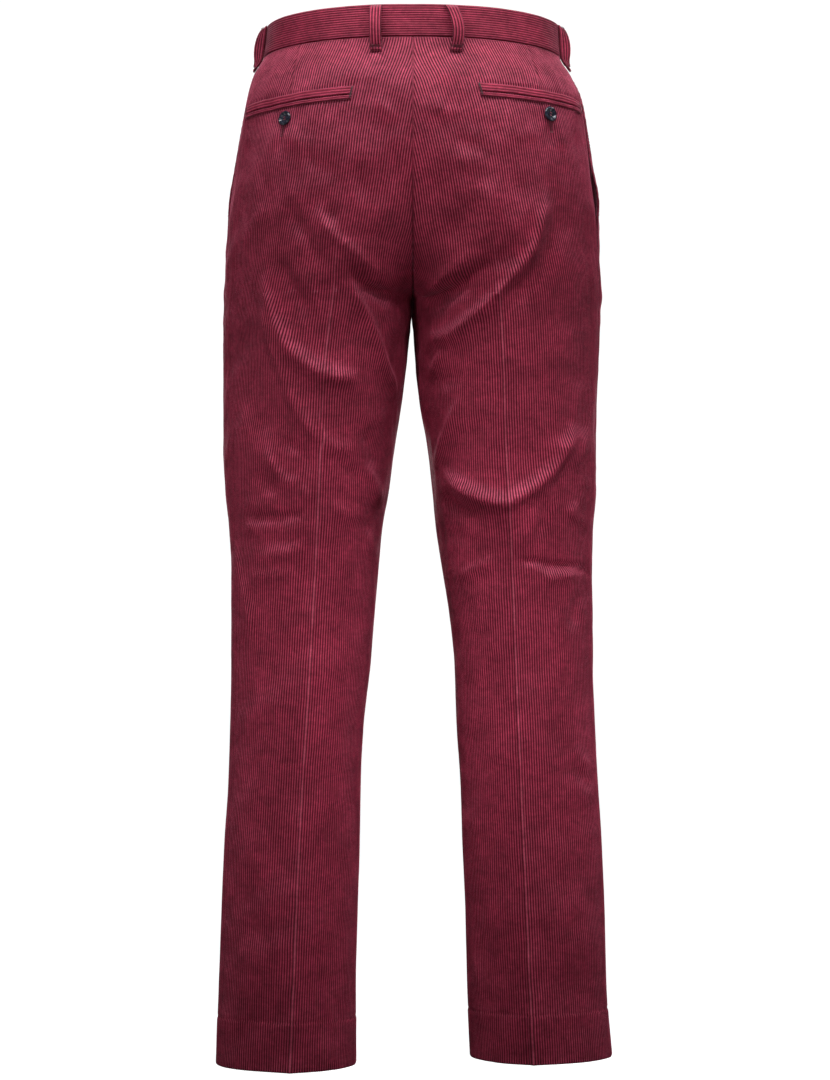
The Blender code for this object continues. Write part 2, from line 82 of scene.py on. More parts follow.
SECTIONS = """
z      out_L  in_L   peak_L  out_R  in_R   peak_R  front_peak  back   front  tip   side
 30    149    -149     0     149    -149     0        0        112    109   0.86  0.88
 17    150    -150     0     150    -150     0        0        113    110   0.86  0.88
-17    154    -154     0     152    -152     0        0        118    113   0.87  0.88
-37    165    -165     4     164    -164     4        2        123    116   0.88  0.89
-58    171    -171    10     173    -173    10        4        129    119   0.90  0.90
-99    178    -166    26     180    -166    26       10        137    122   0.93  0.91
-140   184    -145    44     185    -145    44       24        142    121   0.95  0.93
-180   189    -105    58     190    -105    58       42        143    118   0.97  0.95
-220   192     -58    69     192     -58    70       60        139    113   0.99  0.96
-243   193     -30    75     193     -30    78       70        133    110   1.00  0.97
-256   194     -13    78     193     -13    83       75        128    108   1.00  0.98
-265   194       0.3  79     193       0.3  86       79        125    107   1.00  0.98
-280   194.6     0.4  81.2   192       0.3  87.3     82.2       121.7  106.4 1.01  0.99
-290   195       2.4  82     192       0.5  88       84         120    106   1.02  0.99
-330   195       7    87     191       3    90       89        115    105   1.04  1.00
-370   195      12    91     189       7    92       93        109    103   1.06  1.00
-415   195      19    92     188      15    93       97        102    100   1.08  1.00
-460   193      25    93     188      20    94      100         95     96   1.10  1.00
-500   189      32    96     185      24    98      103         88     91   1.12  1.00
-545   187      36    98     184      31    99      106         80     87   1.14  1.00
-590   187      40   101     185      38   101      108         75     83   1.16  1.00
-640   187      44   104     185      43   104      110         72     79   1.18  1.00
-700   188      51   108     187      45   107      112         69     75   1.20  1.00
-760   190      54   111     190      49   109      115         67     72   1.22  1.00
-820   194      55   115     194      51   112      118         65     69   1.23  1.00
-890   197      57   120     197      54   116      122         64     67   1.24  1.00
-970   200      59   123     199      56   121      126         63     65   1.25  1.00
-1060  203      59   125     206      60   123      128         62     64   1.25  1.00
"""

GRAIN = """
z      back_L  back_R  front  seam_L  seam_R
 30      28      24     60      22      30
-17      34      31     66      22      32
-58      47      47     72      24      38
-99      56      59     76      24      40
-140     62      68     80      23      40
-180     68      74     84      22      38
-220     75      80     86      21      34
-265     79      86     87      20      30
-330     87      90     89      16      22
-415     92      93     97       9      12
-500     96      98    103       5       8
-640    104     104    110       2       6
-820    115     112    118       0       5
-1060   125     123    128       0       5
"""

# Waist darts of the back: where each starts and ends, and the cloth it takes in at the waist.
DARTS = """
half  x_top  z_top  x_tip  z_tip  take
L     113    -17    122    -70    11
R     114    -17    127    -60    11
"""

# Folds.  Each is drawn on the trousers as seen square-on, in chart units across and down from the
# top left of the view from behind: first its height in mm (a trough is negative) and its widths in
# mm to the left and the right of the line as one walks along it, then the line's points.
BACK_FOLDS_L = """
name            height  left  right  points
seat_ridge           5     4     8  317,203 324,222 338,238 352,249 366,261 380,270 397,273
seat_trough       -5.5     7     8  343,264 354,277 366,287 381,294 399,300
inner_ridge        6.5   3.6     7  346,272 358,300 367,317 375,337 381,356 390,380 399,402
inner_bulge       2.5    8      8    378,306 390,320 395,338
smile                9     8    11  263,268 272,304 286,341 303,360 323,372 346,377 369,371
side_edge            6     9     7  262,300 271,335 281,366 290,392 300,412 311,430 319,448
side_hollow       -4.5    16    18  236,318 244,362 256,408 280,444
streak_1          -4.2     6     7  270,248 284,272 299,297 312,322
streak_2          -3.8     7     7  286,203 300,225 315,250 328,276
streak_light       3.6     6     7  300,262 313,290 324,318
thin_crease       -2.4   2.2     3  352,232 370,234 388,239 404,246
thigh_dark       -2.0   10     10    330,326 345,334 362,338
knee_light_1         4     4     6  263,446 270,460 279,473 287,481 297,481 306,478
knee_dark_1       -2.6     6     7  254,470 262,480 270,488 280,494
knee_wedge        -3.0     5     6  270,440 288,444 302,452 311,466 315,480
knee_light_2       3.0     5     7  300,488 307,494 314,500
knee_line         -2.8     4     5  240,516 258,518 276,518 294,515 317,511
crease_dark      -2.6    5      7    309,514 308,558 307,606
shelf_1            2.4     5     6  242,526 254,529 268,528
shelf_2            2.4     4     6  250,551 264,555 280,555 304,548
shelf_3            2.0     4     6  248,577 276,575 301,573
inner_line         3.4     4     8  358,462 368,474 377,489 381,506
patch_light        3.4     5     7  300,418 310,429 324,441 337,447 356,445 364,440
patch_dark       -2.6    8      8    362,432 372,450 374,468
inner_light_2     2.0    6      7    352,408 368,417 386,419
inner_low          2.4     5     8  326,497 334,507 346,513 360,515 370,512
inner_edge_fold    1.8     4     6  364,528 370,545 376,560
side_fold          3.2     4     9  231,530 236,553 241,578 246,600 251,625 256,655
calf_soft_1       1.2   14     16    262,690 286,712 318,700
calf_soft_2      -1.2   14     14    244,716 250,760 248,804
calf_soft_3       1.2   14     16    330,640 338,700 340,780
ankle_1           1.0   10     12    232,940 262,952 300,946
seat_soft_1      -1.8    8      8    354,162 361,182 366,204
seat_soft_2      -1.5    5      6    394,160 396,176 392,190
seat_soft_3      -2.0    6      6    322,211 331,215 341,213
seat_soft_4       1.5    8      8    372,200 384,212 400,214
hip_soft          1.3    8      8    250,150 256,190 257,236
hip_dark         -1.4    6      7    266,168 270,205 266,240
pocket_pull_1    -1.2    4      5    286,126 283,142 276,160
pocket_pull_2     1.0    4      5    296,122 298,140 306,156
knee_soft -2.4 6 8 326,452 340,464 354,474 366,484
shelf_dark -1.8 5 5 262,541 286,541 312,536
knee_shine 2.2 5 7 244,500 254,505 266,509
yoke_1 2.0 7 9 300,56 322,64 345,72 368,76 392,74 408,71
yoke_2 -1.6 6 7 388,46 390,58 386,70
yoke_3 1.4 6 7 372,98 390,112 404,120
seat_roll_1 -1.6 7 8 300,150 322,168 344,176
seat_roll_2 1.6 8 9 268,128 290,138 316,142
"""

BACK_FOLDS_R = """
name            height  left  right  points
seat_ridge         5.4     5    10  420,303 431,288 441,278 453,268 465,258 478,245
seat_trough       -5.5     8     9  424,311 445,298 468,281 490,264 508,255 523,245
long_ridge         8.5     5     9  424,330 438,337 452,334 467,322 483,307 498,291 513,274 527,258 536,242 542,216 545,192
outer_hollow      -6.5    14    16  508,314 520,292 538,266 551,236 560,198
bulge_light          4     4     7  428,378 437,363 447,350
bulge_dark        -2.4     8     8  438,388 452,378 464,386
inner_line           5     4     7  436,476 441,452 449,427 457,407 464,394
inner_dark       -2.2   14     14    466,446 478,430 492,418
smile              9.5   6.5    11  439,466 446,473 455,481 470,491 488,498 506,501 521,495 534,486 547,475 557,461 565,445 571,430 575,418
fan_1              2.6     8    10  548,470 555,440 556,408 552,384
fan_2             1.8    8      8    574,424 578,402 576,380
fan_dark         -1.6    7      7    520,474 530,440 534,404
side_line          3.2   3.5     5  572,474 580,450 587,424 592,396 594,376
smile_dark_1      -3.6     7     8  441,488 452,501 466,513 482,524
smile_dark_2      -3.4     6     7  556,504 549,514 542,526 536,540
light_streak       2.8     3     3  549,522 554,510 559,503
side_light           3     5     6  562,514 576,506 590,498
side_wrinkle_1     2.0     3     4  572,479 584,482 593,486
side_wrinkle_2   -1.4    2.5    3    573,500 582,503 592,499
low_ridge_1        3.0     4     5  564,511 576,517 590,523
knee_crease       -5.5   2.2   2.8  512,562 529,561 544,563.5 562,565.5 578,567 585,570 592,579
knee_light         5.5     3     9  538,576 552,577 566,574 578,571
knee_dark           -3     6     7  584,586 577,606 575,632
diag_light           3   3.5     6  454,577 470,571 485,564 501,557
diag_soft          2.4     7     8  540,502 530,530 513,552
inner_knee       -1.6    7      7    444,530 462,540 486,540
low_wrinkle_1        2     3     4  573,749 584,764 595,777
low_wrinkle_2     -2.2     3     3  571,762 583,777 596,788
low_wrinkle_3      1.8     3     4  572,789 586,797 599,799
calf_soft_1       1.2   14     16    520,690 548,706 576,690
calf_soft_2      -1.2   12     12    480,660 476,720 478,790
calf_soft_3       1.2   12     14    560,840 566,880 562,930
ankle_1           1.0   10     12    478,950 520,962 566,950
seat_edge            3     8     7  476,250 487,226 489,202 483,178
seat_soft_1       -3.4    12    12  438,236 462,222 475,196
seat_soft_2       1.6    5      6    452,156 466,161 482,157
seat_broad        2.4   14     14    503,240 521,220 534,196
seat_soft_3      -1.5    7      7    545,170 552,190 556,214
dart_spot        -1.3    6      6    528,52 540,53 551,50
hip_soft          1.4    7      7    576,150 582,190 584,236
pocket_pull_1    -1.2    4      5    552,146 547,134 548,124
pocket_pull_2     1.0    4      5    560,150 560,136 557,124
smile_side        -2.4     6     6  565,446 561,466 556,484 550,496
yoke_1 2.0 7 9 422,66 442,71 464,69 488,62
yoke_2 1.5 6 7 432,104 446,112 462,110
seat_roll_1 -1.6 8 8 452,132 470,146 492,150
seat_roll_2 1.4 8 8 500,128 520,136 540,132
"""

FRONT_FOLDS_L = """
name            height  left  right  points
whisker_1         4.0    8     11    300,252 334,246 368,254 398,270
whisker_2        -3.4    9     10    312,276 344,272 376,280 400,292
whisker_3         3.4    8     10    322,318 352,306 380,306 399,316
hip_break         2.2    9     10    262,150 296,166 330,172
hip_dark         -2.0    8      8    256,176 288,192 322,198
thigh_soft        2.0   14     16    262,380 300,396 342,388
knee_1            2.6   10     14    246,486 290,500 336,492
knee_2           -2.6    8      8    250,512 296,524 350,512
knee_3            2.2    7     10    248,548 292,556 344,544
knee_in          -2.0    5      6    352,470 366,486 374,508
shin             -1.4   14     14    262,640 258,720 262,800
ankle_1           2.0    9     14    226,986 262,1000 306,996
ankle_2          -1.6    8      8    244,1016 290,1026 336,1018
"""

FRONT_FOLDS_R = """
name            height  left  right  points
whisker_1         4.2    8     11    424,272 456,256 492,248 526,256
whisker_2        -3.2    9     10    424,296 452,282 484,276 514,284
whisker_3         3.0    8     10    426,322 450,312 478,310 504,322
hip_break         2.4    9     10    492,168 528,162 564,148
hip_dark         -2.0    8      8    500,194 534,190 570,176
thigh_soft        2.2   14     16    482,372 524,386 566,374
knee_1            2.8   10     14    482,478 526,492 574,478
knee_2           -2.4    8      8    470,506 520,520 578,506
knee_3            2.4    7     10    476,540 522,552 570,542
knee_in          -2.0    5      6    446,500 452,482 464,468
shin             -1.4   14     14    556,650 562,730 556,806
ankle_1           1.8    9     14    512,990 556,1000 592,984
ankle_2          -1.6    8      8    484,1010 530,1020 580,1010
"""


# ---------------------------------------------------------------- tables and sections
def read_table(text):
    """A table as a dict of columns; words stay words, numbers become arrays."""
    lines = [line.split() for line in text.strip().splitlines()]
    table = {}
    for k, name in enumerate(lines[0]):
        column = [line[k] for line in lines[1:]]
        try:
            table[name] = np.array([float(v) for v in column])
        except ValueError:
            table[name] = column
    return table


def read_folds(text):
    """Folds as (height, left width, right width, points in mm as seen: across to the left, up)."""
    folds = []
    for line in text.strip().splitlines()[1:]:
        words = line.split()
        chart = np.array([[float(v) for v in w.split(",")] for w in words[4:]])
        seen = np.stack([(VIEW_MIDDLE - chart[:, 0]) * VIEW_STEP,
                         EYE_HEIGHT + (540.0 - chart[:, 1]) * VIEW_STEP], axis=1)
        folds.append((float(words[1]), float(words[2]), float(words[3]), seen))
    return folds


SECTIONS, GRAIN, DARTS = read_table(SECTIONS), read_table(GRAIN), read_table(DARTS)
FOLDS = {("back", "L"): read_folds(BACK_FOLDS_L), ("back", "R"): read_folds(BACK_FOLDS_R),
         ("front", "L"): read_folds(FRONT_FOLDS_L), ("front", "R"): read_folds(FRONT_FOLDS_R)}


def smooth(table, name, z):
    """Column `name` at height z, through the rows by a cubic that never overshoots them."""
    h, v = -table["z"], table[name]
    steps = np.diff(v) / np.diff(h)
    slopes = np.zeros(len(v))
    same = steps[:-1] * steps[1:] > 0
    slopes[1:-1][same] = 2 * steps[:-1][same] * steps[1:][same] / (steps[:-1] + steps[1:])[same]
    slopes[0], slopes[-1] = steps[0], steps[-1]
    q = np.clip(-z, h[0], h[-1])
    k = int(np.clip(np.searchsorted(h, q) - 1, 0, len(h) - 2))
    w = h[k + 1] - h[k]
    t = (q - h[k]) / w
    return ((2 * t**3 - 3 * t**2 + 1) * v[k] + (t**3 - 2 * t**2 + t) * w * slopes[k]
            + (3 * t**2 - 2 * t**3) * v[k + 1] + (t**3 - t**2) * w * slopes[k + 1])


def fade(x, lo, hi):
    t = np.clip((x - lo) / (hi - lo), 0.0, 1.0)
    return t * t * (3 - 2 * t)


def bump(d, width):
    return np.exp(-(d / width)**2)


def raw_loop(half, z, count=110):
    """The section at height z as points from the inner end round the back, side and front."""
    row = {c: smooth(SECTIONS, f"{c}_{half}", z) for c in ("out", "in", "peak")}
    row.update({c: smooth(SECTIONS, c, z) for c in ("front_peak", "back", "front", "tip", "side")})
    cut = GAP / 2
    inner, outer = row["in"], row["out"]
    xs, ys = [], []
    for peak, depth, order in ((row["peak"], row["back"], 1), (row["front_peak"], -row["front"], -1)):
        peak = max(peak, cut + 0.01)
        end = math.pi / 2
        if inner < cut:
            end = math.asin(min(1.0, ((peak - cut) / (peak - inner)) ** (1 / row["tip"])))
        t_in = np.linspace(end, 0, count)
        t_out = np.linspace(0, math.pi / 2, count)
        x = np.concatenate([peak - (peak - inner) * np.sin(t_in) ** row["tip"],
                            peak + (outer - peak) * np.sin(t_out[1:]) ** row["tip"]])
        y = depth * np.concatenate([np.abs(np.cos(t_in)) ** row["side"], np.abs(np.cos(t_out[1:])) ** row["side"]])
        xs.append(x[::order])
        ys.append(y[::order])
    x = np.concatenate([xs[0], xs[1][1:]])
    y = np.concatenate([ys[0], ys[1][1:]])
    # just below the crotch the legs lie against each other, a little to the wearer's left
    lean = 1.4 * bump(y, 40.0) * np.clip(1 - x / 45.0, 0, 1)**2 * fade(-z, 258.0, 266.0) * fade(z, -296.0, -282.0)
    x = x + (lean if half == "L" else -lean)
    lift = np.where(y > 0, BACK_LIFT * (y / row["back"])**2, -FRONT_DROP * (y / row["front"])**2)
    zz = z + lift * fade(z, -150.0, -15.0)
    return np.stack([x if half == "L" else -x, y, zz], axis=1)


LOOPS = {}


def loop(half, z):
    """raw_loop with its outward normals and running length."""
    key = (half, round(float(z), 4))
    if key not in LOOPS:
        here, up, down = raw_loop(half, z), raw_loop(half, z + 1.0), raw_loop(half, z - 1.0)
        along = np.gradient(here, axis=0)
        normal = np.cross(along, up - down) * (-1 if half == "L" else 1)
        normal /= np.linalg.norm(normal, axis=1)[:, None] + 1e-12
        length = np.concatenate([[0], np.cumsum(np.hypot(*np.diff(here[:, :2], axis=0).T))])
        LOOPS[key] = here, normal, length
    return LOOPS[key]


def pocket_mouth(z):
    """How far in front of the side seam the slanted pocket mouth runs."""
    return 38.0 * np.clip((z + 186.0) / 170.0, 0.0, 1.0)


def stations(half, face, z):
    """Running lengths of one panel's inner edge, crease and side edge at height z."""
    here, _, length = loop(half, z)
    middle = int(np.abs(here[:, 0]).argmax())
    sign = 1 if half == "L" else -1
    grain = smooth(GRAIN, "front" if face == "front" else f"back_{half}", z)
    side_y = smooth(GRAIN, f"seam_{half}", z)
    start = int(here[:, 1].argmax())
    s_seam = np.interp(-side_y, -here[start:middle + 1, 1], length[start:middle + 1])
    x = sign * here[:, 0]
    inner_edge = smooth(SECTIONS, f"in_{half}", z) > 0.2
    if face == "back":
        k = np.arange(0, middle)
        k = k[here[k, 1] > 0.3 * here[:, 1].max()]
        order = np.argsort(x[k])
        s_crease = np.interp(grain, x[k][order], length[k][order])
        return (GAP / 2 if inner_edge else 0.0), s_crease, s_seam - GAP / 2
    k = np.arange(middle, len(here))
    k = k[here[k, 1] < 0.3 * here[:, 1].min()]
    order = np.argsort(x[k])
    s_crease = np.interp(grain, x[k][order], length[k][order])
    return length[-1] - (GAP / 2 if inner_edge else 0.0), s_crease, s_seam + GAP / 2 + pocket_mouth(z)


# ---------------------------------------------------------------- folds
def curve_through(points, steps=9):
    """A smooth line through a fold's points."""
    p = np.vstack([2 * points[0] - points[1], points, 2 * points[-1] - points[-2]])
    out = []
    for a, b, c, d in zip(p, p[1:], p[2:], p[3:]):
        t = np.linspace(0, 1, steps, endpoint=False)[:, None]
        out.append(0.5 * ((2 * b) + (c - a) * t + (2 * a - 5 * b + 4 * c - d) * t**2
                          + (3 * b - a - 3 * c + d) * t**3))
    out.append(points[-1:])
    return np.concatenate(out)


def fold_height(points, folds):
    """How far the folds stand out at points, seen square-on."""
    near = 1 - points[..., 1] / EYE_DISTANCE
    x = (points[..., 0] / near).ravel()
    z = (EYE_HEIGHT + (points[..., 2] - EYE_HEIGHT) / near).ravel()
    total = np.zeros(len(x))
    for height, left, right, line in folds:
        line = curve_through(line)
        reach = (3.6 if height > 0 else 2.5) * max(left, right)
        near_by = np.flatnonzero((x > line[:, 0].min() - reach) & (x < line[:, 0].max() + reach)
                                 & (z > line[:, 1].min() - reach) & (z < line[:, 1].max() + reach))
        if not len(near_by):
            continue
        dx = x[near_by, None] - line[:, 0]
        dz = z[near_by, None] - line[:, 1]
        d2 = dx * dx + dz * dz
        at = d2.argmin(axis=1)
        step = np.gradient(line, axis=0)
        step /= np.linalg.norm(step, axis=1)[:, None]
        pick = np.arange(len(near_by))
        px, pz = dx[pick, at], dz[pick, at]
        # walking along the line on the chart (x grows to the left there), is the point to its left?
        side = step[at, 0] * pz - step[at, 1] * px
        width = np.where(side < 0, left, right)
        run = np.concatenate([[0], np.cumsum(np.linalg.norm(np.diff(line, axis=0), axis=1))])
        ahead = step[at, 0] * px + step[at, 1] * pz
        pace = np.gradient(run)[at] * 0.5
        run_at = run[at] + ahead
        tip = min(0.32 * run[-1], 34.0)
        ends = fade(run_at, -2.0, tip) * fade(run[-1] - run_at, -2.0, tip)
        away = np.hypot(side, ahead - np.clip(ahead, -pace, pace))
        if height > 0:    # ridges have a sharp crest, troughs a round floor
            shape = np.exp(-((np.hypot(away, 1.1) - 1.1) / width)**1.15)
        else:
            shape = np.exp(-(away / width)**2)
        total[near_by] += height * ends * shape
    return total.reshape(points.shape[:-1])


def pressed_line(half, face, r, z):
    """Distance from the pressed crease and how sharp it is; the left back one jogs behind the knee."""
    strength = fade(-z, 195, 290)
    if face == "back" and half == "L":
        r = r - 3.1 * bump(z + 389, 7.0) + 3.4 * bump(z + 407, 9.0)
        strength = strength * (1 - 0.85 * bump(z + 364, 20.0))
    return r, strength


def ripple(x, z, longest, shortest, count, seed):
    """Soft unevenness of about one millimetre high, always the same for a seed."""
    rng = np.random.default_rng(seed)
    total = np.zeros(np.broadcast_shapes(np.shape(x), np.shape(z)))
    for k in range(count):
        size = longest * (shortest / longest) ** (k / max(count - 1, 1))
        turn, start = rng.uniform(0, 2 * math.pi, 2)
        total += np.sin(2 * math.pi / size * (x * math.cos(turn) + z * math.sin(turn)) + start)
    return total / math.sqrt(count)


# ---------------------------------------------------------------- meshes
def add_mesh(name, verts, faces, mat, values=None, smooth_shading=True):
    """An object from points in mm and groups of faces with the same number of corners."""
    mesh = bpy.data.meshes.new(name)
    verts = np.asarray(verts, float) * 0.001
    groups = [np.asarray(g, np.int64) for g in faces if len(g)]
    # faces point out: the volume they enclose is positive
    volume = 0.0
    for g in groups:
        for k in range(1, g.shape[1] - 1):
            a, b, c = verts[g[:, 0]], verts[g[:, k]], verts[g[:, k + 1]]
            volume += float(np.einsum("ij,ij->i", a, np.cross(b, c)).sum())
    if volume < 0:
        groups = [g[:, ::-1] for g in groups]
    mesh.vertices.add(len(verts))
    mesh.vertices.foreach_set("co", verts.ravel())
    corners = np.concatenate([g.ravel() for g in groups])
    totals = np.concatenate([np.full(len(g), g.shape[1]) for g in groups])
    mesh.loops.add(len(corners))
    mesh.loops.foreach_set("vertex_index", corners.astype(np.int32))
    mesh.polygons.add(len(totals))
    mesh.polygons.foreach_set("loop_start", np.concatenate([[0], np.cumsum(totals)[:-1]]).astype(np.int32))
    mesh.update(calc_edges=True)
    mesh.polygons.foreach_set("use_smooth", np.full(len(totals), smooth_shading))
    for key, value in (values or {}).items():
        layer = mesh.attributes.new(key, "FLOAT", "POINT")
        layer.data.foreach_set("value", np.asarray(value, np.float32).ravel())
    mesh.materials.append(mat)
    obj = bpy.data.objects.new(name, mesh)
    bpy.context.scene.collection.objects.link(obj)
    return obj


def closed_wall(name, outer, inner, mat, pile_and_shade=None, inside_pile=0.35):
    """A closed wall between two grids of points of the same size."""
    rows, cols = outer.shape[:2]
    n = rows * cols
    v = np.arange(n).reshape(rows, cols)
    w = v + n
    quads = [np.stack([v[:-1, :-1], v[1:, :-1], v[1:, 1:], v[:-1, 1:]], -1).reshape(-1, 4),
             np.stack([w[:-1, :-1], w[:-1, 1:], w[1:, 1:], w[1:, :-1]], -1).reshape(-1, 4),
             np.stack([v[0, :-1], v[0, 1:], w[0, 1:], w[0, :-1]], -1),
             np.stack([v[-1, 1:], v[-1, :-1], w[-1, :-1], w[-1, 1:]], -1),
             np.stack([v[1:, 0], v[:-1, 0], w[:-1, 0], w[1:, 0]], -1),
             np.stack([v[:-1, -1], v[1:, -1], w[1:, -1], w[:-1, -1]], -1)]
    pile_and_shade = np.ones((rows, cols)) if pile_and_shade is None else pile_and_shade
    values = {"pile_and_shade": np.concatenate([pile_and_shade.ravel(), np.full(n, inside_pile)]),
              "inside": np.concatenate([np.zeros(n), np.ones(n)]),
              # painted highlight: every strip is a quarter of the way to the paler crest colour
              "upward_highlight": np.full(2 * n, 0.25),
              "crease_pale": np.zeros(2 * n)}
    verts = np.concatenate([outer.reshape(-1, 3), inner.reshape(-1, 3)])
    return add_mesh(name, verts, [np.concatenate(quads)], mat, values)


def zip_rows(a, ta, b, tb, flip):
    """Triangles between two lines of vertices, by how far along each lies."""
    i = j = 0
    out = []
    while i < len(a) - 1 or j < len(b) - 1:
        if j == len(b) - 1 or (i < len(a) - 1 and ta[i + 1] <= tb[j + 1]):
            out.append((a[i], a[i + 1], b[j]))
            i += 1
        else:
            out.append((a[i], b[j + 1], b[j]))
            j += 1
    out = np.array(out)
    return out[:, ::-1] if flip else out


def heights(half, face):
    """Heights of a panel's rows, closer where folds, seams and the crotch need it."""
    hem = HEM_Z[half]
    spans = [(BAND_LOW - GAP, -22.0, 1.3), (-22.0, -58.0, 6.0)]
    if face == "back":
        spans += [(-58.0, -90.0, 1.45), (-90.0, -118.0, 4.0), (-118.0, -180.0, 6.5)]
    else:
        spans += [(-58.0, -180.0, 7.0)]
    spans += [(-180.0, -244.0, 5.0), (-244.0, -257.0, 2.4), (-257.0, -265.0, 1.0), (-265.0, -281.0, 2.6),
              (-281.0, -620.0, 4.2 if face == "back" else 7.0), (-620.0, hem + HEM_TURN + 5.0, 8.5),
              (hem + HEM_TURN + 5.0, hem + HEM_TURN - 5.0, 1.4), (hem + HEM_TURN - 5.0, hem + 3.0, 8.0),
              (hem + 3.0, hem, 0.75)]
    rows = [spans[0][0]]
    for start, stop, step in spans:
        count = max(1, round(abs(stop - start) / step))
        rows += list(np.linspace(start, stop, count + 1)[1:])
    return rows


class Panel:
    """One cut piece of a leg: its smooth surface with folds, and the ribbed cloth on it."""

    def __init__(self, half, face):
        self.half, self.face = half, face
        self.z = np.array(heights(half, face))
        self.way = 1 if face == "back" else -1
        across = np.linspace(0, 1, 190)
        rows = []
        for z in self.z:
            here, normal, length = loop(half, z)
            s_in, s_crease, s_side = stations(half, face, z)
            s = s_in + (s_side - s_in) * across
            p = np.stack([np.interp(s, length, here[:, k]) for k in range(3)], axis=1)
            n = np.stack([np.interp(s, length, normal[:, k]) for k in range(3)], axis=1)
            rows.append((p, n / np.linalg.norm(n, axis=1)[:, None],
                         (s_in - s_crease) * self.way, (s_side - s_crease) * self.way))
        p = np.array([r[0] for r in rows])
        n = np.array([r[1] for r in rows])
        self.r_in = np.array([r[2] for r in rows])
        self.r_side = np.array([r[3] for r in rows])
        self.flat_area = 0.0
        z = self.z[:, None]
        r = self.r_in[:, None] + (self.r_side - self.r_in)[:, None] * across
        d_in, d_side = r - self.r_in[:, None], self.r_side[:, None] - r
        flat = np.hypot(n[..., 0], n[..., 1])
        facing = n[..., 1] / np.maximum(flat, 1e-6) * (1 if face == "back" else -1)
        out = fade(facing, 0.02, 0.42) * fade(d_in, 1.0, 26.0) * fade(-z, 24.0, 52.0)
        if face == "back":
            out = out * fade(d_side, 0.0, 14.0)
        lumps = fold_height(p, FOLDS[face, half]) * out
        seed = {"L": 11, "R": 23}[half] + (5 if face == "front" else 0)
        soft = ripple(r, z, 150, 45, 9, seed) * 0.60 + ripple(r, z, 44, 16, 9, seed + 1) * 0.24
        soft = soft + ripple(r * 0.35, z, 44, 18, 9, seed + 2) * 0.17   # short rumples across the leg
        soft = soft * fade(-z, 20.0, 60.0) * fade(d_in, 0.0, 18.0) * fade(d_side, 0.0, 18.0)
        line, strength = pressed_line(half, face, r, z)
        crease = (2.5 * np.exp(-np.abs(line) / 7.0) + 0.9 * np.exp(-(line / 1.6)**2)) * strength
        if half == "R" and face == "back":
            crease = crease - 1.2 * bump(line + 4.0, 1.7) * strength
        crease = crease + 2.4 * np.exp(-np.abs(line) / 17.0) * fade(-z, 780, 960)   # pressed flattest at the hems
        rise = lumps + soft + crease
        if face == "back":
            full = z + 74.0
            rise = rise + 2.6 * bump(full, np.where(full > 0, 30.0, 70.0)) * fade(d_side, 0.0, 40.0) * fade(-z, 20.0, 48.0)
        if face == "front":
            gape = {"L": 1.5, "R": 4.5}[half] * bump(z + 160, 28)
            rise = rise + gape * np.exp(-d_side / 18.0)
            rise = rise + 0.5 * bump(d_side - 3.0, 3.0) * fade(z, -190, -170)
            if half == "L":
                rise = rise + 2.4 * bump(d_in, 14.0) * fade(z, -200, -170)
        p = p + n * rise[..., None]
        if face == "front" and half == "L":
            p[..., 0] -= 7.0 * fade(z, -160, -130) * np.clip(1 - d_in / 12.0, 0, 1)
        a, b = np.gradient(p, axis=1), np.gradient(p, axis=0)
        m = np.cross(a, b)
        m /= np.linalg.norm(m, axis=2)[..., None] + 1e-12
        m *= np.where(np.einsum("ijk,ijk->ij", m, n) < 0, -1.0, 1.0)[..., None]
        self.p, self.n = p, m
        self.across = across

    def at(self, z, r, out=0.0):
        """Points and normals of the smooth surface at heights z and distances r from the crease."""
        z, r = np.broadcast_arrays(np.asarray(z, float), np.asarray(r, float))
        row = np.clip(np.searchsorted(-self.z, -z) - 1, 0, len(self.z) - 2)
        t = np.clip((self.z[row] - z) / (self.z[row] - self.z[row + 1]), 0, 1)[..., None]
        last = len(self.across) - 1

        def on(k):
            c = np.clip((r - self.r_in[k]) / (self.r_side[k] - self.r_in[k]), 0, 1) * last
            j = np.minimum(c.astype(int), last - 1)
            f = (c - j)[..., None]
            return (self.p[k, j] * (1 - f) + self.p[k, j + 1] * f, self.n[k, j] * (1 - f) + self.n[k, j + 1] * f)
        (p0, n0), (p1, n1) = on(row), on(row + 1)
        p, n = p0 * (1 - t) + p1 * t, n0 * (1 - t) + n1 * t
        n /= np.linalg.norm(n, axis=-1)[..., None]
        return p + n * np.asarray(out, float)[..., None], n

    def dart(self):
        """Distance of the dart from the crease and the cloth it takes in, row by row."""
        where, take = np.full(len(self.z), 1e9), np.zeros(len(self.z))
        if self.face != "back":
            return where, take
        k = DARTS["half"].index(self.half)
        for i, z in enumerate(self.z):
            if z < DARTS["z_tip"][k]:
                break
            f = (z - DARTS["z_top"][k]) / (DARTS["z_tip"][k] - DARTS["z_top"][k])
            x = DARTS["x_top"][k] + (DARTS["x_tip"][k] - DARTS["x_top"][k]) * f
            here, _, length = loop(self.half, z)
            middle = int(np.abs(here[:, 0]).argmax())
            s = np.interp(x, np.abs(here[:middle, 0]), length[:middle])
            _, s_crease, _ = stations(self.half, "back", z)
            where[i], take[i] = s - s_crease, DARTS["take"][k] * np.clip(1 - f, 0, 1)
        return where, take

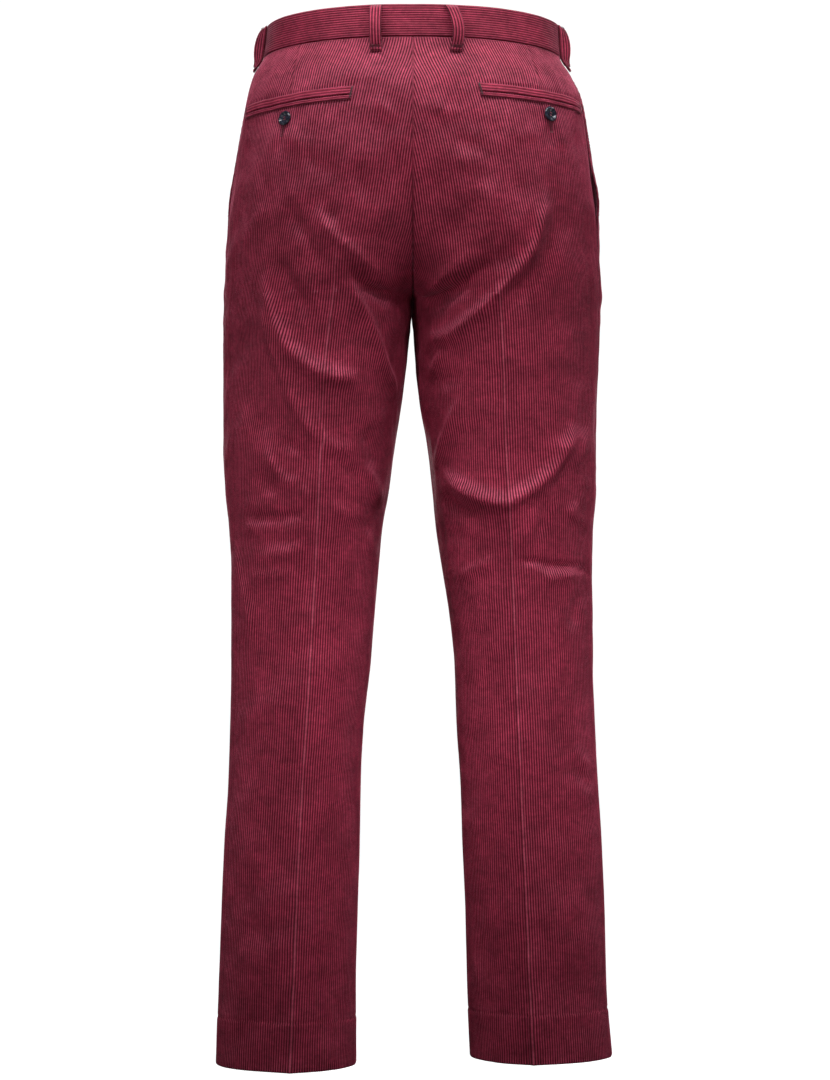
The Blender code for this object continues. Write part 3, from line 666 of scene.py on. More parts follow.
    def cloth(self, name, mat, extra=None):
        """The ribbed outer face and the plain inner face, closed along all four edges."""
        z = self.z
        column = "front" if self.face == "front" else f"back_{self.half}"
        lean = np.array([(smooth(GRAIN, column, h + 4) - smooth(GRAIN, column, h - 4)) / 8 for h in z])
        narrow = 1 / np.sqrt(1 + lean**2)
        dart_r, take = self.dart()
        p_lo = (self.r_in * narrow).min()
        p_hi = (self.r_side * narrow + take).max()
        ribs = np.arange(math.floor(p_lo / PITCH) - 1, math.ceil(p_hi / PITCH) + 1)
        p_col = np.concatenate([(k + 0.5 + np.array([s[0] for s in RIB_SHAPE])) * PITCH for k in ribs])
        rib_col = np.tile([s[1] for s in RIB_SHAPE], len(ribs))
        # each rib wanders a little and stands a little higher or lower than its neighbours
        rng = np.random.default_rng(31 if self.half == "L" else 47)
        tall = np.repeat(1 + rng.uniform(-0.16, 0.16, len(ribs)), len(RIB_SHAPE))
        wander = 0.22 * ripple(p_col[None, :], z[:, None], 160, 26, 8, 3)
        r = np.empty((len(z), len(p_col)))
        for i in range(len(z)):
            edge = dart_r[i] * narrow[i]
            q = np.where(p_col <= edge, p_col, np.maximum(p_col - take[i], edge))
            q = q + wander[i]
            if take[i] > 0:
                q = np.where(np.abs(q - edge) < 0.2, edge, q)
                q = np.where((p_col > edge) & (p_col - take[i] < edge), edge, q)
            q = q / narrow[i]
            q = np.where(q - self.r_in[i] < 0.25, self.r_in[i], q)
            q = np.where(self.r_side[i] - q < 0.25, self.r_side[i], q)
            r[i] = np.maximum.accumulate(q)
        fresh = np.ones(r.shape, bool)
        fresh[:, 1:] = np.diff(r, axis=1) > 1e-6
        index = np.cumsum(fresh.ravel()).reshape(r.shape) - 1
        zz = np.broadcast_to(z[:, None], r.shape)
        d_in, d_side = r - self.r_in[:, None], self.r_side[:, None] - r
        last = len(self.across) - 1
        c = np.clip(d_in / (self.r_side - self.r_in)[:, None], 0, 1) * last
        j = np.minimum(c.astype(int), last - 1)
        f = (c - j)[..., None]
        k = np.arange(len(z))[:, None]
        p = self.p[k, j] * (1 - f) + self.p[k, j + 1] * f
        n = self.n[k, j] * (1 - f) + self.n[k, j + 1] * f
        n /= np.linalg.norm(n, axis=2)[..., None]
        upward_highlight = fade(n[..., 2], -0.05, 0.34)   # painted highlight: cloth facing up is given the paler crest colour
        # rib height, dying out into every seam
        seam_top = z[0] - zz
        from_dart = np.abs(r - dart_r[:, None])
        open_cloth = (fade(d_in, 0.0, 1.6) * fade(d_side, 0.0, 1.6) * fade(seam_top, 0.0, 1.5)
                      * (1 - (take[:, None] > 0) * bump(from_dart, 1.0)))
        rib = rib_col[None, :] * open_cloth
        rise = RIB * (rib * tall[None, :] - 0.45)
        low_in = fade(-zz, 235, 275) if self.face == "back" else 1.0
        seam = (0.32 + 0.83 * low_in) * bump(d_in, 0.9 + 0.8 * low_in) + 1.0 * bump(seam_top, 1.6)
        seam = seam + (1.15 * bump(d_side, 1.7) if self.face == "back" else
                       0.7 * bump(d_side, 1.0) + 0.5 * bump(d_side, 1.7) * (zz < -186))
        seam = seam + 0.45 * bump(from_dart, 1.1) * fade(take[:, None], 0.0, 1.2)
        hem = HEM_Z[self.half]
        line = hem + HEM_TURN + 0.7 * np.sin(r / 41.0 + 1.0)
        dimple = 0.55 + 0.45 * bump((np.mod(r, 7.0) - 3.5), 1.3)
        rise = rise - 0.75 * bump(zz - line, 1.5) * dimple + 0.45 * fade(line - zz, -1.0, 3.0)
        rise = rise - 0.85 * bump(zz - hem, 1.1)
        if extra is not None:
            rise = rise + extra(zz, r)
        p = p + n * (rise - seam)[..., None]
        line, strength = pressed_line(self.half, self.face, r, zz)
        # the colour is paler along the pressed crease, broken at random along it
        crease_pale = np.exp(-(line / (0.95 if self.half == "L" else 0.8))**2) * strength
        crease_pale = crease_pale * np.clip(0.62 + 0.38 * ripple(zz, zz * 0, 90, 9, 8, 61), 0.1, 1.0)
        # painted shade: the crest colour is dimmed along the seams, where they draw the cloth in
        pile_and_shade = np.maximum(rib * (1 - 0.4 * np.clip(seam, 0, 1)), 0.80 * (1 - open_cloth))
        keep = fresh.ravel()
        verts = p.reshape(-1, 3)[keep]
        values = [pile_and_shade.ravel()[keep], crease_pale.ravel()[keep] * (self.face == "back") + 0.7 * crease_pale.ravel()[keep] * (self.face == "front")]
        count = len(verts)
        # inner face
        cols = 44
        t = np.linspace(0, 1, cols)
        c = t * last
        j = np.minimum(c.astype(int), last - 1)
        f = (c - j)[None, :, None]
        q = self.p[:, j] * (1 - f) + self.p[:, j + 1] * f
        m = self.n[:, j] * (1 - f) + self.n[:, j + 1] * f
        m /= np.linalg.norm(m, axis=2)[..., None]
        depth = WALL * np.where(z < hem + HEM_TURN, 2.0, 1.0)
        inner = q - m * depth[:, None, None]
        w = count + np.arange(len(z) * cols).reshape(len(z), cols)
        verts = np.concatenate([verts, inner.reshape(-1, 3)])
        a, b = index[:-1, :-1].ravel(), index[:-1, 1:].ravel()
        d, e = index[1:, :-1].ravel(), index[1:, 1:].ravel()
        whole = (a != b) & (d != e)
        top_one = (a == b) & (d != e)
        low_one = (a != b) & (d == e)
        quads = [np.stack([a, d, e, b], -1)[whole],
                 np.stack([w[:-1, :-1], w[:-1, 1:], w[1:, 1:], w[1:, :-1]], -1).reshape(-1, 4)]
        tris = [np.stack([a, d, e], -1)[top_one], np.stack([a, d, b], -1)[low_one]]
        first, final = index[:, 0], index[:, -1]
        quads += [np.stack([first[1:], first[:-1], w[:-1, 0], w[1:, 0]], -1),
                  np.stack([final[:-1], final[1:], w[1:, -1], w[:-1, -1]], -1)]
        for i, flip in ((0, False), (len(z) - 1, True)):
            line, where = np.unique(index[i], return_index=True)
            along = (r[i][where] - self.r_in[i]) / (self.r_side[i] - self.r_in[i])
            tris.append(zip_rows(line, along, w[i], t, flip))
        pile_and_shade_all = np.concatenate([values[0], np.full(len(z) * cols, 0.35)])
        crease_pale_all = np.concatenate([values[1], np.zeros(len(z) * cols)])
        inside = np.concatenate([np.zeros(count), np.ones(len(z) * cols)])
        upward_highlight_all = np.concatenate([upward_highlight.ravel()[keep], np.zeros(len(z) * cols)])
        obj = add_mesh(name, verts, [np.concatenate(quads), np.concatenate(tris)], mat,
                       {"pile_and_shade": pile_and_shade_all, "crease_pale": crease_pale_all, "inside": inside, "upward_highlight": upward_highlight_all})
        width = self.r_side - self.r_in
        self.flat = (float((width + take).max()) * 0.001 + 0.002, float(z[0] - z[-1]) * 0.001 + 0.004)
        self.area = float(np.trapz((width + 0.5 * take)[::-1], z[::-1])) * 1e-6 * 1.02
        return obj


# ---------------------------------------------------------------- materials
def nodes_of(name):
    mat = bpy.data.materials.new(name)
    mat.use_nodes = True
    tree = mat.node_tree
    return mat, tree, tree.nodes["Principled BSDF"]


def mix_colour(tree, kind, factor, a, b):
    node = tree.nodes.new("ShaderNodeMix")
    node.data_type, node.blend_type = "RGBA", kind
    for socket, value in ((node.inputs[0], factor), (node.inputs[6], a), (node.inputs[7], b)):
        if hasattr(value, "is_linked"):
            tree.links.new(value, socket)
        elif isinstance(value, tuple):
            socket.default_value = (*value, 1.0)
        else:
            socket.default_value = value
    return node.outputs[2]


def ranged(tree, value, a, b, c, d):
    node = tree.nodes.new("ShaderNodeMapRange")
    tree.links.new(value, node.inputs[0])
    for k, v in enumerate((a, b, c, d)):
        node.inputs[k + 1].default_value = v
    return node.outputs[0]


def times(tree, a, b, op="MULTIPLY"):
    node = tree.nodes.new("ShaderNodeMath")
    node.operation = op
    for socket, value in zip(node.inputs, (a, b)):
        if hasattr(value, "is_linked"):
            tree.links.new(value, socket)
        else:
            socket.default_value = value
    return node.outputs[0]


def noise(tree, scale, detail=3.0, rough=0.5, stretch=(1, 1, 1), spin=0.0):
    where = tree.nodes.new("ShaderNodeTexCoord")
    turn = tree.nodes.new("ShaderNodeMapping")
    turn.inputs["Scale"].default_value = stretch
    turn.inputs["Location"].default_value = (spin, spin * 0.7, spin * 1.3)
    tree.links.new(where.outputs["Object"], turn.inputs[0])
    node = tree.nodes.new("ShaderNodeTexNoise")
    node.inputs["Scale"].default_value = scale
    node.inputs["Detail"].default_value = detail
    node.inputs["Roughness"].default_value = rough
    tree.links.new(turn.outputs[0], node.inputs["Vector"])
    return node.outputs[0]


def attribute(tree, name):
    node = tree.nodes.new("ShaderNodeAttribute")
    node.attribute_name = name
    return node.outputs["Fac"]


def velvet(name, crest, tips, valley, reverse):
    """Velvet: deep between the ribs, lighter on their crests. The deep valley colour is partly the cloth's ground and
    partly painted shade; cloth facing up gets a painted highlight, and the colour is paler along the pressed crease.
    """
    mat, tree, shader = nodes_of(name)
    pile_and_shade = times(tree, attribute(tree, "pile_and_shade"), 2.3, "POWER")
    fuzz = noise(tree, 1500.0, 2.0, 0.6)
    patches = noise(tree, 26.0, 4.0, 0.55)
    crushed = noise(tree, 78.0, 3.0, 0.6, (0.6, 0.6, 1.0), 7.0)
    mottle = noise(tree, 250.0, 2.0, 0.5, (0.7, 0.7, 1.0), 5.0)
    threads = noise(tree, 420.0, 2.0, 0.5, (1, 1, 0.16), 3.0)
    # painted highlight: the crest colour turns to the paler tips colour where the cloth faces up
    crest = mix_colour(tree, "MIX", attribute(tree, "upward_highlight"), crest, tips)
    # the valley colour is partly the cloth's ground and partly painted shade in the rib valleys
    colour = mix_colour(tree, "MIX", pile_and_shade, valley, crest)
    # paler colour along the pressed crease
    colour = mix_colour(tree, "MIX", times(tree, attribute(tree, "crease_pale"), 0.42), colour, (0.66, 0.135, 0.21))
    shade = times(tree, ranged(tree, patches, 0.3, 0.7, 0.87, 1.13), ranged(tree, fuzz, 0.25, 0.75, 0.70, 1.30))
    shade = times(tree, shade, ranged(tree, crushed, 0.32, 0.68, 0.84, 1.16))
    shade = times(tree, shade, ranged(tree, mottle, 0.3, 0.7, 0.83, 1.17))
    shade = times(tree, shade, ranged(tree, threads, 0.3, 0.7, 0.97, 1.03))
    node = tree.nodes.new("ShaderNodeCombineColor")
    for k in range(3):
        tree.links.new(shade, node.inputs[k])
    colour = mix_colour(tree, "MULTIPLY", 1.0, colour, node.outputs[0])
    colour = mix_colour(tree, "MIX", attribute(tree, "inside"), colour, reverse)
    tree.links.new(colour, shader.inputs["Base Color"])
    shader.inputs["Roughness"].default_value = 0.60
    shader.inputs["Specular IOR Level"].default_value = 0.12
    shader.inputs["Sheen Weight"].default_value = 0.60
    shader.inputs["Sheen Roughness"].default_value = 0.26
    shader.inputs["Sheen Tint"].default_value = (1.0, 0.42, 0.56, 1.0)
    bumps = tree.nodes.new("ShaderNodeBump")
    bumps.inputs["Strength"].default_value = 0.55
    bumps.inputs["Distance"].default_value = 0.0003
    tree.links.new(fuzz, bumps.inputs["Height"])
    tree.links.new(bumps.outputs[0], shader.inputs["Normal"])
    return mat


def thread_material(name, colour):
    mat, tree, shader = nodes_of(name)
    twist = noise(tree, 2600.0, 1.0, 0.5)
    shade = ranged(tree, twist, 0.3, 0.7, 0.7, 1.2)
    node = tree.nodes.new("ShaderNodeCombineColor")
    for k in range(3):
        tree.links.new(shade, node.inputs[k])
    tree.links.new(mix_colour(tree, "MULTIPLY", 1.0, colour, node.outputs[0]), shader.inputs["Base Color"])
    shader.inputs["Roughness"].default_value = 0.5
    shader.inputs["Sheen Weight"].default_value = 0.2
    return mat


def button_material(name):
    mat, tree, shader = nodes_of(name)
    cloud = noise(tree, 300.0, 3.0, 0.6)
    colour = mix_colour(tree, "MIX", ranged(tree, cloud, 0.35, 0.65, 0.0, 1.0), (0.006, 0.008, 0.020), (0.022, 0.026, 0.050))
    tree.links.new(colour, shader.inputs["Base Color"])
    tree.links.new(ranged(tree, cloud, 0.3, 0.7, 0.16, 0.30), shader.inputs["Roughness"])
    shader.inputs["Coat Weight"].default_value = 0.35
    shader.inputs["Coat Roughness"].default_value = 0.12
    return mat


def metal_material(name):
    mat, tree, shader = nodes_of(name)
    cloud = noise(tree, 500.0, 2.0, 0.5)
    colour = mix_colour(tree, "MIX", cloud, (0.28, 0.22, 0.15), (0.42, 0.34, 0.24))
    tree.links.new(colour, shader.inputs["Base Color"])
    shader.inputs["Metallic"].default_value = 1.0
    tree.links.new(ranged(tree, cloud, 0.3, 0.7, 0.28, 0.45), shader.inputs["Roughness"])
    return mat


# colours: crest; tips, the painted highlight for cloth facing up; valley, partly painted shade; reverse side
VELVET = velvet("wine_velvet", (0.475, 0.048, 0.101), (0.66, 0.106, 0.188), (0.066, 0.0030, 0.0100), (0.110, 0.011, 0.024))
THREAD = thread_material("wine_thread", (0.24, 0.035, 0.065))
NAVY = button_material("navy_button")
METAL = metal_material("zip_metal")
TAPE = thread_material("zip_tape", (0.07, 0.010, 0.020))

SIDES = (("L", "left"), ("R", "right"))


def ride(obj, *nodes, slot="velvet"):
    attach(obj, "root")
    if nodes:
        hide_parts(*nodes)
    return obj


# ---------------------------------------------------------------- panels
POCKETS = {"L": ((9.0, 146.0), (-74.5, -81.0)), "R": ((15.0, 150.0), (-71.0, -75.0))}
BUTTONS = {"L": (125.5, -93.0), "R": (134.5, -88.0)}


def pocket_groove(half):
    """The cloth is drawn down along the pocket's stitching, above and below its lips."""
    (r0, r1), (z0, z1) = POCKETS[half]

    def extra(z, r):
        f = (r - r0) / (r1 - r0)
        mouth = z0 + (z1 - z0) * np.clip(f, 0, 1)
        on = fade(f, -0.012, 0.006) * fade(1 - f, -0.012, 0.006)
        near = bump(r - r0 + 1.2, 1.2) + bump(r - r1 - 1.2, 1.2)
        ends = near * fade(z - mouth, -8.0, -3.0) * fade(mouth + 12.0 - z, 0.0, 4.0)
        return -on * (1.1 * bump(z - mouth - 9.6, 1.4) + 0.5 * bump(z - mouth + 5.2, 1.3)) - 0.5 * ends
    return extra


PANELS, CLOTH = {}, {}
for half, side in SIDES:
    for face in ("back", "front"):
        panel = Panel(half, face)
        PANELS[half, face] = panel
        extra = pocket_groove(half) if face == "back" else None
        CLOTH[half, face] = ride(panel.cloth(f"{face}_{side}_cloth", VELVET, extra), f"{face}_{side}")


# ---------------------------------------------------------------- seams, pressed open inside
def seam_strip(name, rows, half_width, mat):
    """The two seam allowances under a seam, as one strip along the rows of (middle, across, inward)."""
    outer, inner = [], []
    for mid, across, inward in rows:
        offsets = np.array([-1.0, -0.6, -0.12, 0.0, 0.12, 0.6, 1.0]) * half_width
        depth = WALL + np.array([0.25, 0.3, 0.35, 0.5, 0.35, 0.3, 0.25])
        outer.append([mid + across * o + inward * d for o, d in zip(offsets, depth)])
        inner.append([mid + across * o + inward * (d + 0.7) for o, d in zip(offsets, depth)])
    return ride(closed_wall(name, np.array(outer), np.array(inner), mat, np.full((len(rows), 7), 0.3)))


def seam_rows(first, second, edge, z_from, z_to, step=9.0):
    """Middle, across and inward along the seam between two panels' edges."""
    rows = []
    for z in np.linspace(z_from, z_to, max(2, round(abs(z_to - z_from) / step))):
        ends = []
        for panel, which in ((first, edge[0]), (second, edge[1])):
            r = np.interp(-z, -panel.z, getattr(panel, which))
            ends.append(panel.at(z, r))
        (p, n), (q, m) = ends
        mean = n + m
        mean /= np.linalg.norm(mean)
        way = np.array(rows[-1][0] - (p + q) / 2) if rows else np.array((0.0, 0.0, 1.0))
        way /= np.linalg.norm(way) + 1e-9
        across = np.cross(mean, way)
        across /= np.linalg.norm(across) + 1e-9
        rows.append(((p + q) / 2, across, -mean))
    return rows


SEAMS = {}
for half, side in SIDES:
    hem = HEM_Z[half]
    back, front = PANELS[half, "back"], PANELS[half, "front"]
    SEAMS[half, "side"] = seam_strip(f"side_seam_{side}", seam_rows(back, front, ("r_side", "r_side"), -192.0, hem + 3.0), 9.0, VELVET)
    SEAMS[half, "in"] = seam_strip(f"inseam_{side}", seam_rows(back, front, ("r_in", "r_in"), -268.0, hem + 3.0), 8.0, VELVET)
for face in ("back", "front"):
    rows = seam_rows(PANELS["L", face], PANELS["R", face], ("r_in", "r_in"), BAND_LOW - 2.0, -262.5, 6.0)
    SEAMS[face] = seam_strip(f"seat_seam_{face}", rows, 8.0 if face == "back" else 5.0, VELVET)


# ---------------------------------------------------------------- strips of ribbed cloth
def rib_profile(width, ribs, round_off=0.9, tall=RIB):
    """Offsets across a strip and heights there: whole ribs, with both long edges turned down."""
    offsets, rise, pile_and_shade = [], [], []
    for k in range(ribs):
        for phase, h in RIB_SHAPE:
            offsets.append((k + phase) / ribs)
            rise.append(tall * (h - 0.45))
            pile_and_shade.append(h)
    offsets.append(1.0)
    rise.append(-0.45 * tall)
    pile_and_shade.append(0.0)
    offsets = np.array(offsets)
    edge = np.minimum(offsets, 1 - offsets) * width
    rise = np.array(rise) - round_off * bump(edge, 0.9)
    # the colour mix is dimmed towards the turned edges as painted shade
    return offsets, rise, np.array(pile_and_shade) * (0.35 + 0.65 * fade(edge, 0.0, 1.2))


def curve_on(half, z, s_from):
    here, normal, length = loop(half, z)
    s = s_from(z)
    p = np.array([np.interp(s, length, here[:, k]) for k in range(3)])
    n = np.array([np.interp(s, length, normal[:, k]) for k in range(3)])
    return p, n / np.linalg.norm(n)


def waistband():
    """One strip from the right front end round the back to the left front end, which laps over."""
    offsets, rise, pile_and_shade = rib_profile(33.0, 14, 1.1)
    z_lines = BAND_TOP + (BAND_LOW - BAND_TOP) * offsets
    outer, inner = [], []
    for level, z in enumerate(z_lines):
        line, normals = [], []
        for half, direction in (("R", -1), ("L", 1)):
            here, normal, length = loop(half, z)
            s = np.linspace(0, length[-1], 120)[::direction]
            p = np.stack([np.interp(s, length, here[:, k]) for k in range(3)], axis=1)
            n = np.stack([np.interp(s, length, normal[:, k]) for k in range(3)], axis=1)
            if half == "L":
                p, n = p[1:], n[1:]
            line.append(p)
            normals.append(n)
        p, n = np.concatenate(line), np.concatenate(normals)
        length = np.concatenate([[0], np.cumsum(np.linalg.norm(np.diff(p, axis=0), axis=1))])
        p = p + n * (3.7 * fade(length, length[-1] - 45.0, length[-1] - 4.0))[:, None]
        here, normal, run = loop("R", z)
        for d in np.linspace(3.5, 38.0, 11):
            q = np.array([np.interp(run[-1] - d, run, here[:, k]) for k in range(3)])
            m = np.array([np.interp(run[-1] - d, run, normal[:, k]) for k in range(3)])
            p, n = np.vstack([p, q + m * 3.7]), np.vstack([n, m])
        n /= np.linalg.norm(n, axis=1)[:, None]
        run = np.concatenate([[0], np.cumsum(np.linalg.norm(np.diff(p, axis=0), axis=1))])
        end = np.minimum(run, run[-1] - run)
        soft = 0.28 * ripple(run, np.full(len(run), z * 2.0), 120, 22, 8, 71)
        tall = 1 + 0.12 * np.sin(run / 19.0 + level // 4)
        outer.append(p + n * (rise[level] * tall + soft - 1.0 * bump(end, 1.0))[:, None])
        inner.append(p - n * BAND_WALL)
    outer, inner = np.array(outer), np.array(inner)
    # the top edge is a soft fold, so the inner face starts a little lower
    inner[0, :, 2] -= 0.5
    obj = closed_wall("waistband_cloth", outer, inner, VELVET, np.repeat(0.20 + 0.70 * pile_and_shade[:, None], outer.shape[1], 1))
    return ride(obj, "waistband"), float(np.linalg.norm(np.diff(outer[28], axis=0), axis=1).sum())


BAND, BAND_LENGTH = waistband()



def waist_seam():
    """The allowance of the waist seam, turned up behind the band, from one front end to the other."""
    outer, inner = [], []
    for z, depth in ((-9.0, 3.15), (-13.0, 3.15), (-16.8, 3.15), (-19.5, 2.6), (-23.0, 1.9)):
        line, normals = [], []
        for half, way in (("R", -1), ("L", 1)):
            here, normal, length = loop(half, z)
            s = np.linspace(0, length[-1] - 1.0, 120)[::way]
            p = np.stack([np.interp(s, length, here[:, k]) for k in range(3)], axis=1)
            n = np.stack([np.interp(s, length, normal[:, k]) for k in range(3)], axis=1)
            line.append(p[1:] if half == "L" else p)
            normals.append(n[1:] if half == "L" else n)
        p, n = np.concatenate(line), np.concatenate(normals)
        n /= np.linalg.norm(n, axis=1)[:, None]
        outer.append(p - n * depth)
        inner.append(p - n * (depth + 0.7))
    return ride(closed_wall("waist_seam", np.array(outer), np.array(inner), VELVET, np.full((5, len(p)), 0.3)))


WAIST_SEAM = waist_seam()

LOOP_SPAN = (15.5, -31.0)


def back_at(half, x):
    def s_of(z):
        here, _, length = loop(half, z)
        k = np.arange(int(np.abs(here[:, 0]).argmax()))
        return float(np.interp(x, np.abs(here[k, 0]), length[k]))
    return s_of


def side_at(half, y):
    def s_of(z):
        here, _, length = loop(half, z)
        k = np.arange(int(here[:, 1].argmax()), int(np.abs(here[:, 0]).argmax()) + 1)
        return float(np.interp(-y, -here[k, 1], length[k]))
    return s_of


def front_at(half, x):
    def s_of(z):
        here, _, length = loop(half, z)
        k = np.arange(int(np.abs(here[:, 0]).argmax()), len(here))[::-1]
        return float(np.interp(x, np.abs(here[k, 0]), length[k]))
    return s_of


def belt_loop(name, half, s_from, lean, stand, bend=0.0):
    """A strap bowed off the waistband; both ends are turned under and sewn down."""
    offsets, rise, pile_and_shade = rib_profile(LOOP_WIDTH, 4, 0.9, 0.8)
    top, low = LOOP_SPAN
    outer, inner, tops = [], [], []
    steps = np.concatenate([np.linspace(0, 0.12, 7), np.linspace(0.12, 0.84, 26)[1:], np.linspace(0.84, 1.0, 12)[1:]])
    for f in steps:
        z = top + (low - top) * f
        p, n = curve_on(half, z, lambda h: s_from(h) + lean * f + bend * math.sin(math.pi * min(f, 1.0)))
        flat = np.array([n[0], n[1], 0.0])
        flat /= np.linalg.norm(flat)
        across = np.cross(flat, (0.0, 0.0, 1.0))
        bow = stand * (math.sin(math.pi * min(1.0, max(0.0, f * 1.12 - 0.02)))) ** 0.55 if f < 0.9 else 0.0
        base = p + flat * (0.9 + bow)
        # a side loop turns its back edge in until it lies on the waist
        turn = -(bow + 0.7 * min(1.0, bow)) if "side" in name else 0.0
        front = [(o - 0.5) * (1 if across[1] > 0 else -1) + 0.5 for o in offsets]
        end = min(f, 1 - f) * (top - low)
        thick = LOOP_WALL + 0.8 * fade(f, 0.8, 0.9) - 1.4 * math.exp(-(end / 0.9)**2)
        sewn = 0.75 * math.exp(-((f - 0.905) / 0.018)**2) + 0.6 * math.exp(-((f - 0.045) / 0.02)**2)
        outer.append([base + across * (o - 0.5) * LOOP_WIDTH + flat * (thick + h - sewn + turn * t)
                      for o, h, t in zip(offsets, rise, front)])
        inner.append([base + across * (o - 0.5) * LOOP_WIDTH + flat * turn * t for o, t in zip(offsets, front)])
        tops.append((f, base + flat * (thick - sewn + 0.12), across, flat))
    obj = closed_wall(f"{name}_cloth", np.array(outer), np.array(inner), VELVET,
                      np.repeat(pile_and_shade[None, :], len(steps), 0))
    ride(obj, name)
    return obj, tops


def capsules(name, ends, radius, mat, sides=6, slot="velvet", nodes=()):
    """Many short threads, each from one point to another, as one joined mesh."""
    verts, quads, tris = [], [], []
    for a, b in ends:
        a, b = np.asarray(a, float), np.asarray(b, float)
        way = b - a
        span = np.linalg.norm(way)
        way /= span
        side = np.cross(way, (0.13, 0.31, 0.94))
        side /= np.linalg.norm(side)
        other = np.cross(way, side)
        base = len(verts)
        for t, scale in ((0.0, 0.55), (0.16, 1.0), (0.84, 1.0), (1.0, 0.55)):
            for k in range(sides):
                turn = 2 * math.pi * k / sides
                verts.append(a + way * span * t + (side * math.cos(turn) + other * math.sin(turn)) * radius * scale)
        for ring in range(3):
            for k in range(sides):
                i, j = base + ring * sides + k, base + ring * sides + (k + 1) % sides
                quads.append((i, i + sides, j + sides, j))
        tips = len(verts)
        verts += [a - way * radius * 0.2, b + way * radius * 0.2]
        for k in range(sides):
            tris.append((tips, base + k, base + (k + 1) % sides))
            tris.append((tips + 1, base + 3 * sides + (k + 1) % sides, base + 3 * sides + k))
    return ride(add_mesh(name, verts, [quads, tris], mat), *nodes, slot=slot)


def bar_tack(f_at, tops, width):
    """A dense bar of threads across the strap."""
    fs = np.array([t[0] for t in tops])
    ends = []
    for f in f_at:
        k = int(np.clip(np.searchsorted(fs, f) - 1, 0, len(tops) - 2))
        t = (f - fs[k]) / (fs[k + 1] - fs[k])
        mid = tops[k][1] * (1 - t) + tops[k + 1][1] * t
        across = tops[k][2]
        ends.append((mid - across * width / 2, mid + across * width / 2))
    return ends


LOOPS_AT = (
    ("belt_loop_back_left", "L", back_at("L", 36.5), 0.0, 8.0, 0.0),
    ("belt_loop_back_right", "R", back_at("R", 37.5), 5.0, 8.0, 4.0),
    ("belt_loop_side_left", "L", side_at("L", 16.0), 0.0, 9.0, 0.0),
    ("belt_loop_side_right", "R", side_at("R", 20.0), 0.0, 9.0, 0.0),
    ("belt_loop_front_left", "L", front_at("L", 68.0), 0.0, 9.5, 0.0),
    ("belt_loop_front_right", "R", front_at("R", 68.0), 0.0, 9.5, 0.0),
)
STRAPS, tacks = [], []
for name, half, s_from, lean, stand, bend in LOOPS_AT:
    strap, tops = belt_loop(name, half, s_from, lean, stand, bend)
    STRAPS.append(strap)
    tacks += bar_tack(np.linspace(0.885, 0.925, 6), tops, 10.6)
    tacks += bar_tack(np.linspace(0.03, 0.06, 4), tops, 10.6)


def jet(name, half, above, low, ribs):
    """One lip of a back pocket: a folded strip of cloth with its ribs along it."""
    panel = PANELS[half, "back"]
    (r0, r1), (z0, z1) = POCKETS[half]
    offsets, rise, pile_and_shade = rib_profile(above - low, ribs, 0.8, 0.8)
    f = np.linspace(0, 1, 96)
    end = np.minimum(f, 1 - f) * (r1 - r0)
    outer, inner = [], []
    for o, h in zip(offsets, rise):
        z = z0 + (z1 - z0) * f + above + (low - above) * o
        r = r0 + (r1 - r0) * f
        soft = 0.22 * np.sin(r / 9.0 + above) + 0.12 * np.sin(r / 4.1)
        p, _ = panel.at(z, r, 2.15 + h + soft - 1.1 * bump(end, 1.1))
        q, _ = panel.at(z, r, np.full(len(f), 0.45))
        outer.append(p)
        inner.append(q)
    obj = closed_wall(f"{name}_cloth", np.array(outer), np.array(inner), VELVET,
                      np.repeat(0.45 + 0.55 * pile_and_shade[:, None], len(f), 1))
    return ride(obj, name)


JETS, pocket_ends = {}, []
for half, side in SIDES:
    JETS[half] = [jet(f"back_pocket_{side}_upper", half, 8.5, 0.3, 3),
                  jet(f"back_pocket_{side}_lower", half, -0.3, -4.3, 2)]
    # a row of small stitches closes each end of the mouth
    panel = PANELS[half, "back"]
    (r0, r1), (z0, z1) = POCKETS[half]
    for r, z, way in ((r0, z0, -1), (r1, z1, 1)):
        for k in range(5):
            a, _ = panel.at(z + 7.5, r - way * (0.5 + 0.32 * k), 2.3)
            b, _ = panel.at(z - 3.6, r - way * (0.5 + 0.32 * k), 2.3)
            pocket_ends.append((a, b))

# ---------------------------------------------------------------- side pockets
for half, side in SIDES:
    z_rows = np.linspace(BAND_LOW - GAP, -200.0, 46)
    ribs = 21
    offsets = np.concatenate([(k + np.array([s[0] for s in RIB_SHAPE])) / ribs for k in range(ribs)] + [[1.0]])
    rib = np.concatenate([np.tile([s[1] for s in RIB_SHAPE], ribs), [0.0]])
    outer, inner = [], []
    for z in z_rows:
        here, normal, length = loop(half, z)
        _, _, s_front = stations(half, "front", z)
        mouth = pocket_mouth(z)
        s_seam = s_front - mouth - GAP / 2
        knots = s_seam + GAP / 2 + np.array([0.0, 0.45, 0.85, 1.0, 1.0]) * mouth + np.array([0.0, 0.0, 0.0, 6.0, 14.0])
        sink = np.array([0.0, 0.9, 2.6, 3.4, 3.4])
        if mouth < 12.0:
            sink = np.maximum(sink, 3.4 * (1 - mouth / 12.0))
        s = knots[0] + (knots[-1] - knots[0]) * offsets
        sink = np.interp(s, knots, sink)
        p = np.stack([np.interp(s, length, here[:, k]) for k in range(3)], axis=1)
        n = np.stack([np.interp(s, length, normal[:, k]) for k in range(3)], axis=1)
        n /= np.linalg.norm(n, axis=1)[:, None]
        rise = 0.62 * (rib - 0.8) - 0.9 * bump(s - s[0], 1.5)
        outer.append(p + n * (rise - sink)[:, None])
        inner.append(p - n * (sink + 1.2)[:, None])
    ride(closed_wall(f"side_pocket_{side}_cloth", np.array(outer), np.array(inner), VELVET,
                                          np.repeat(rib[None, :], len(z_rows), 0)), f"side_pocket_{side}")


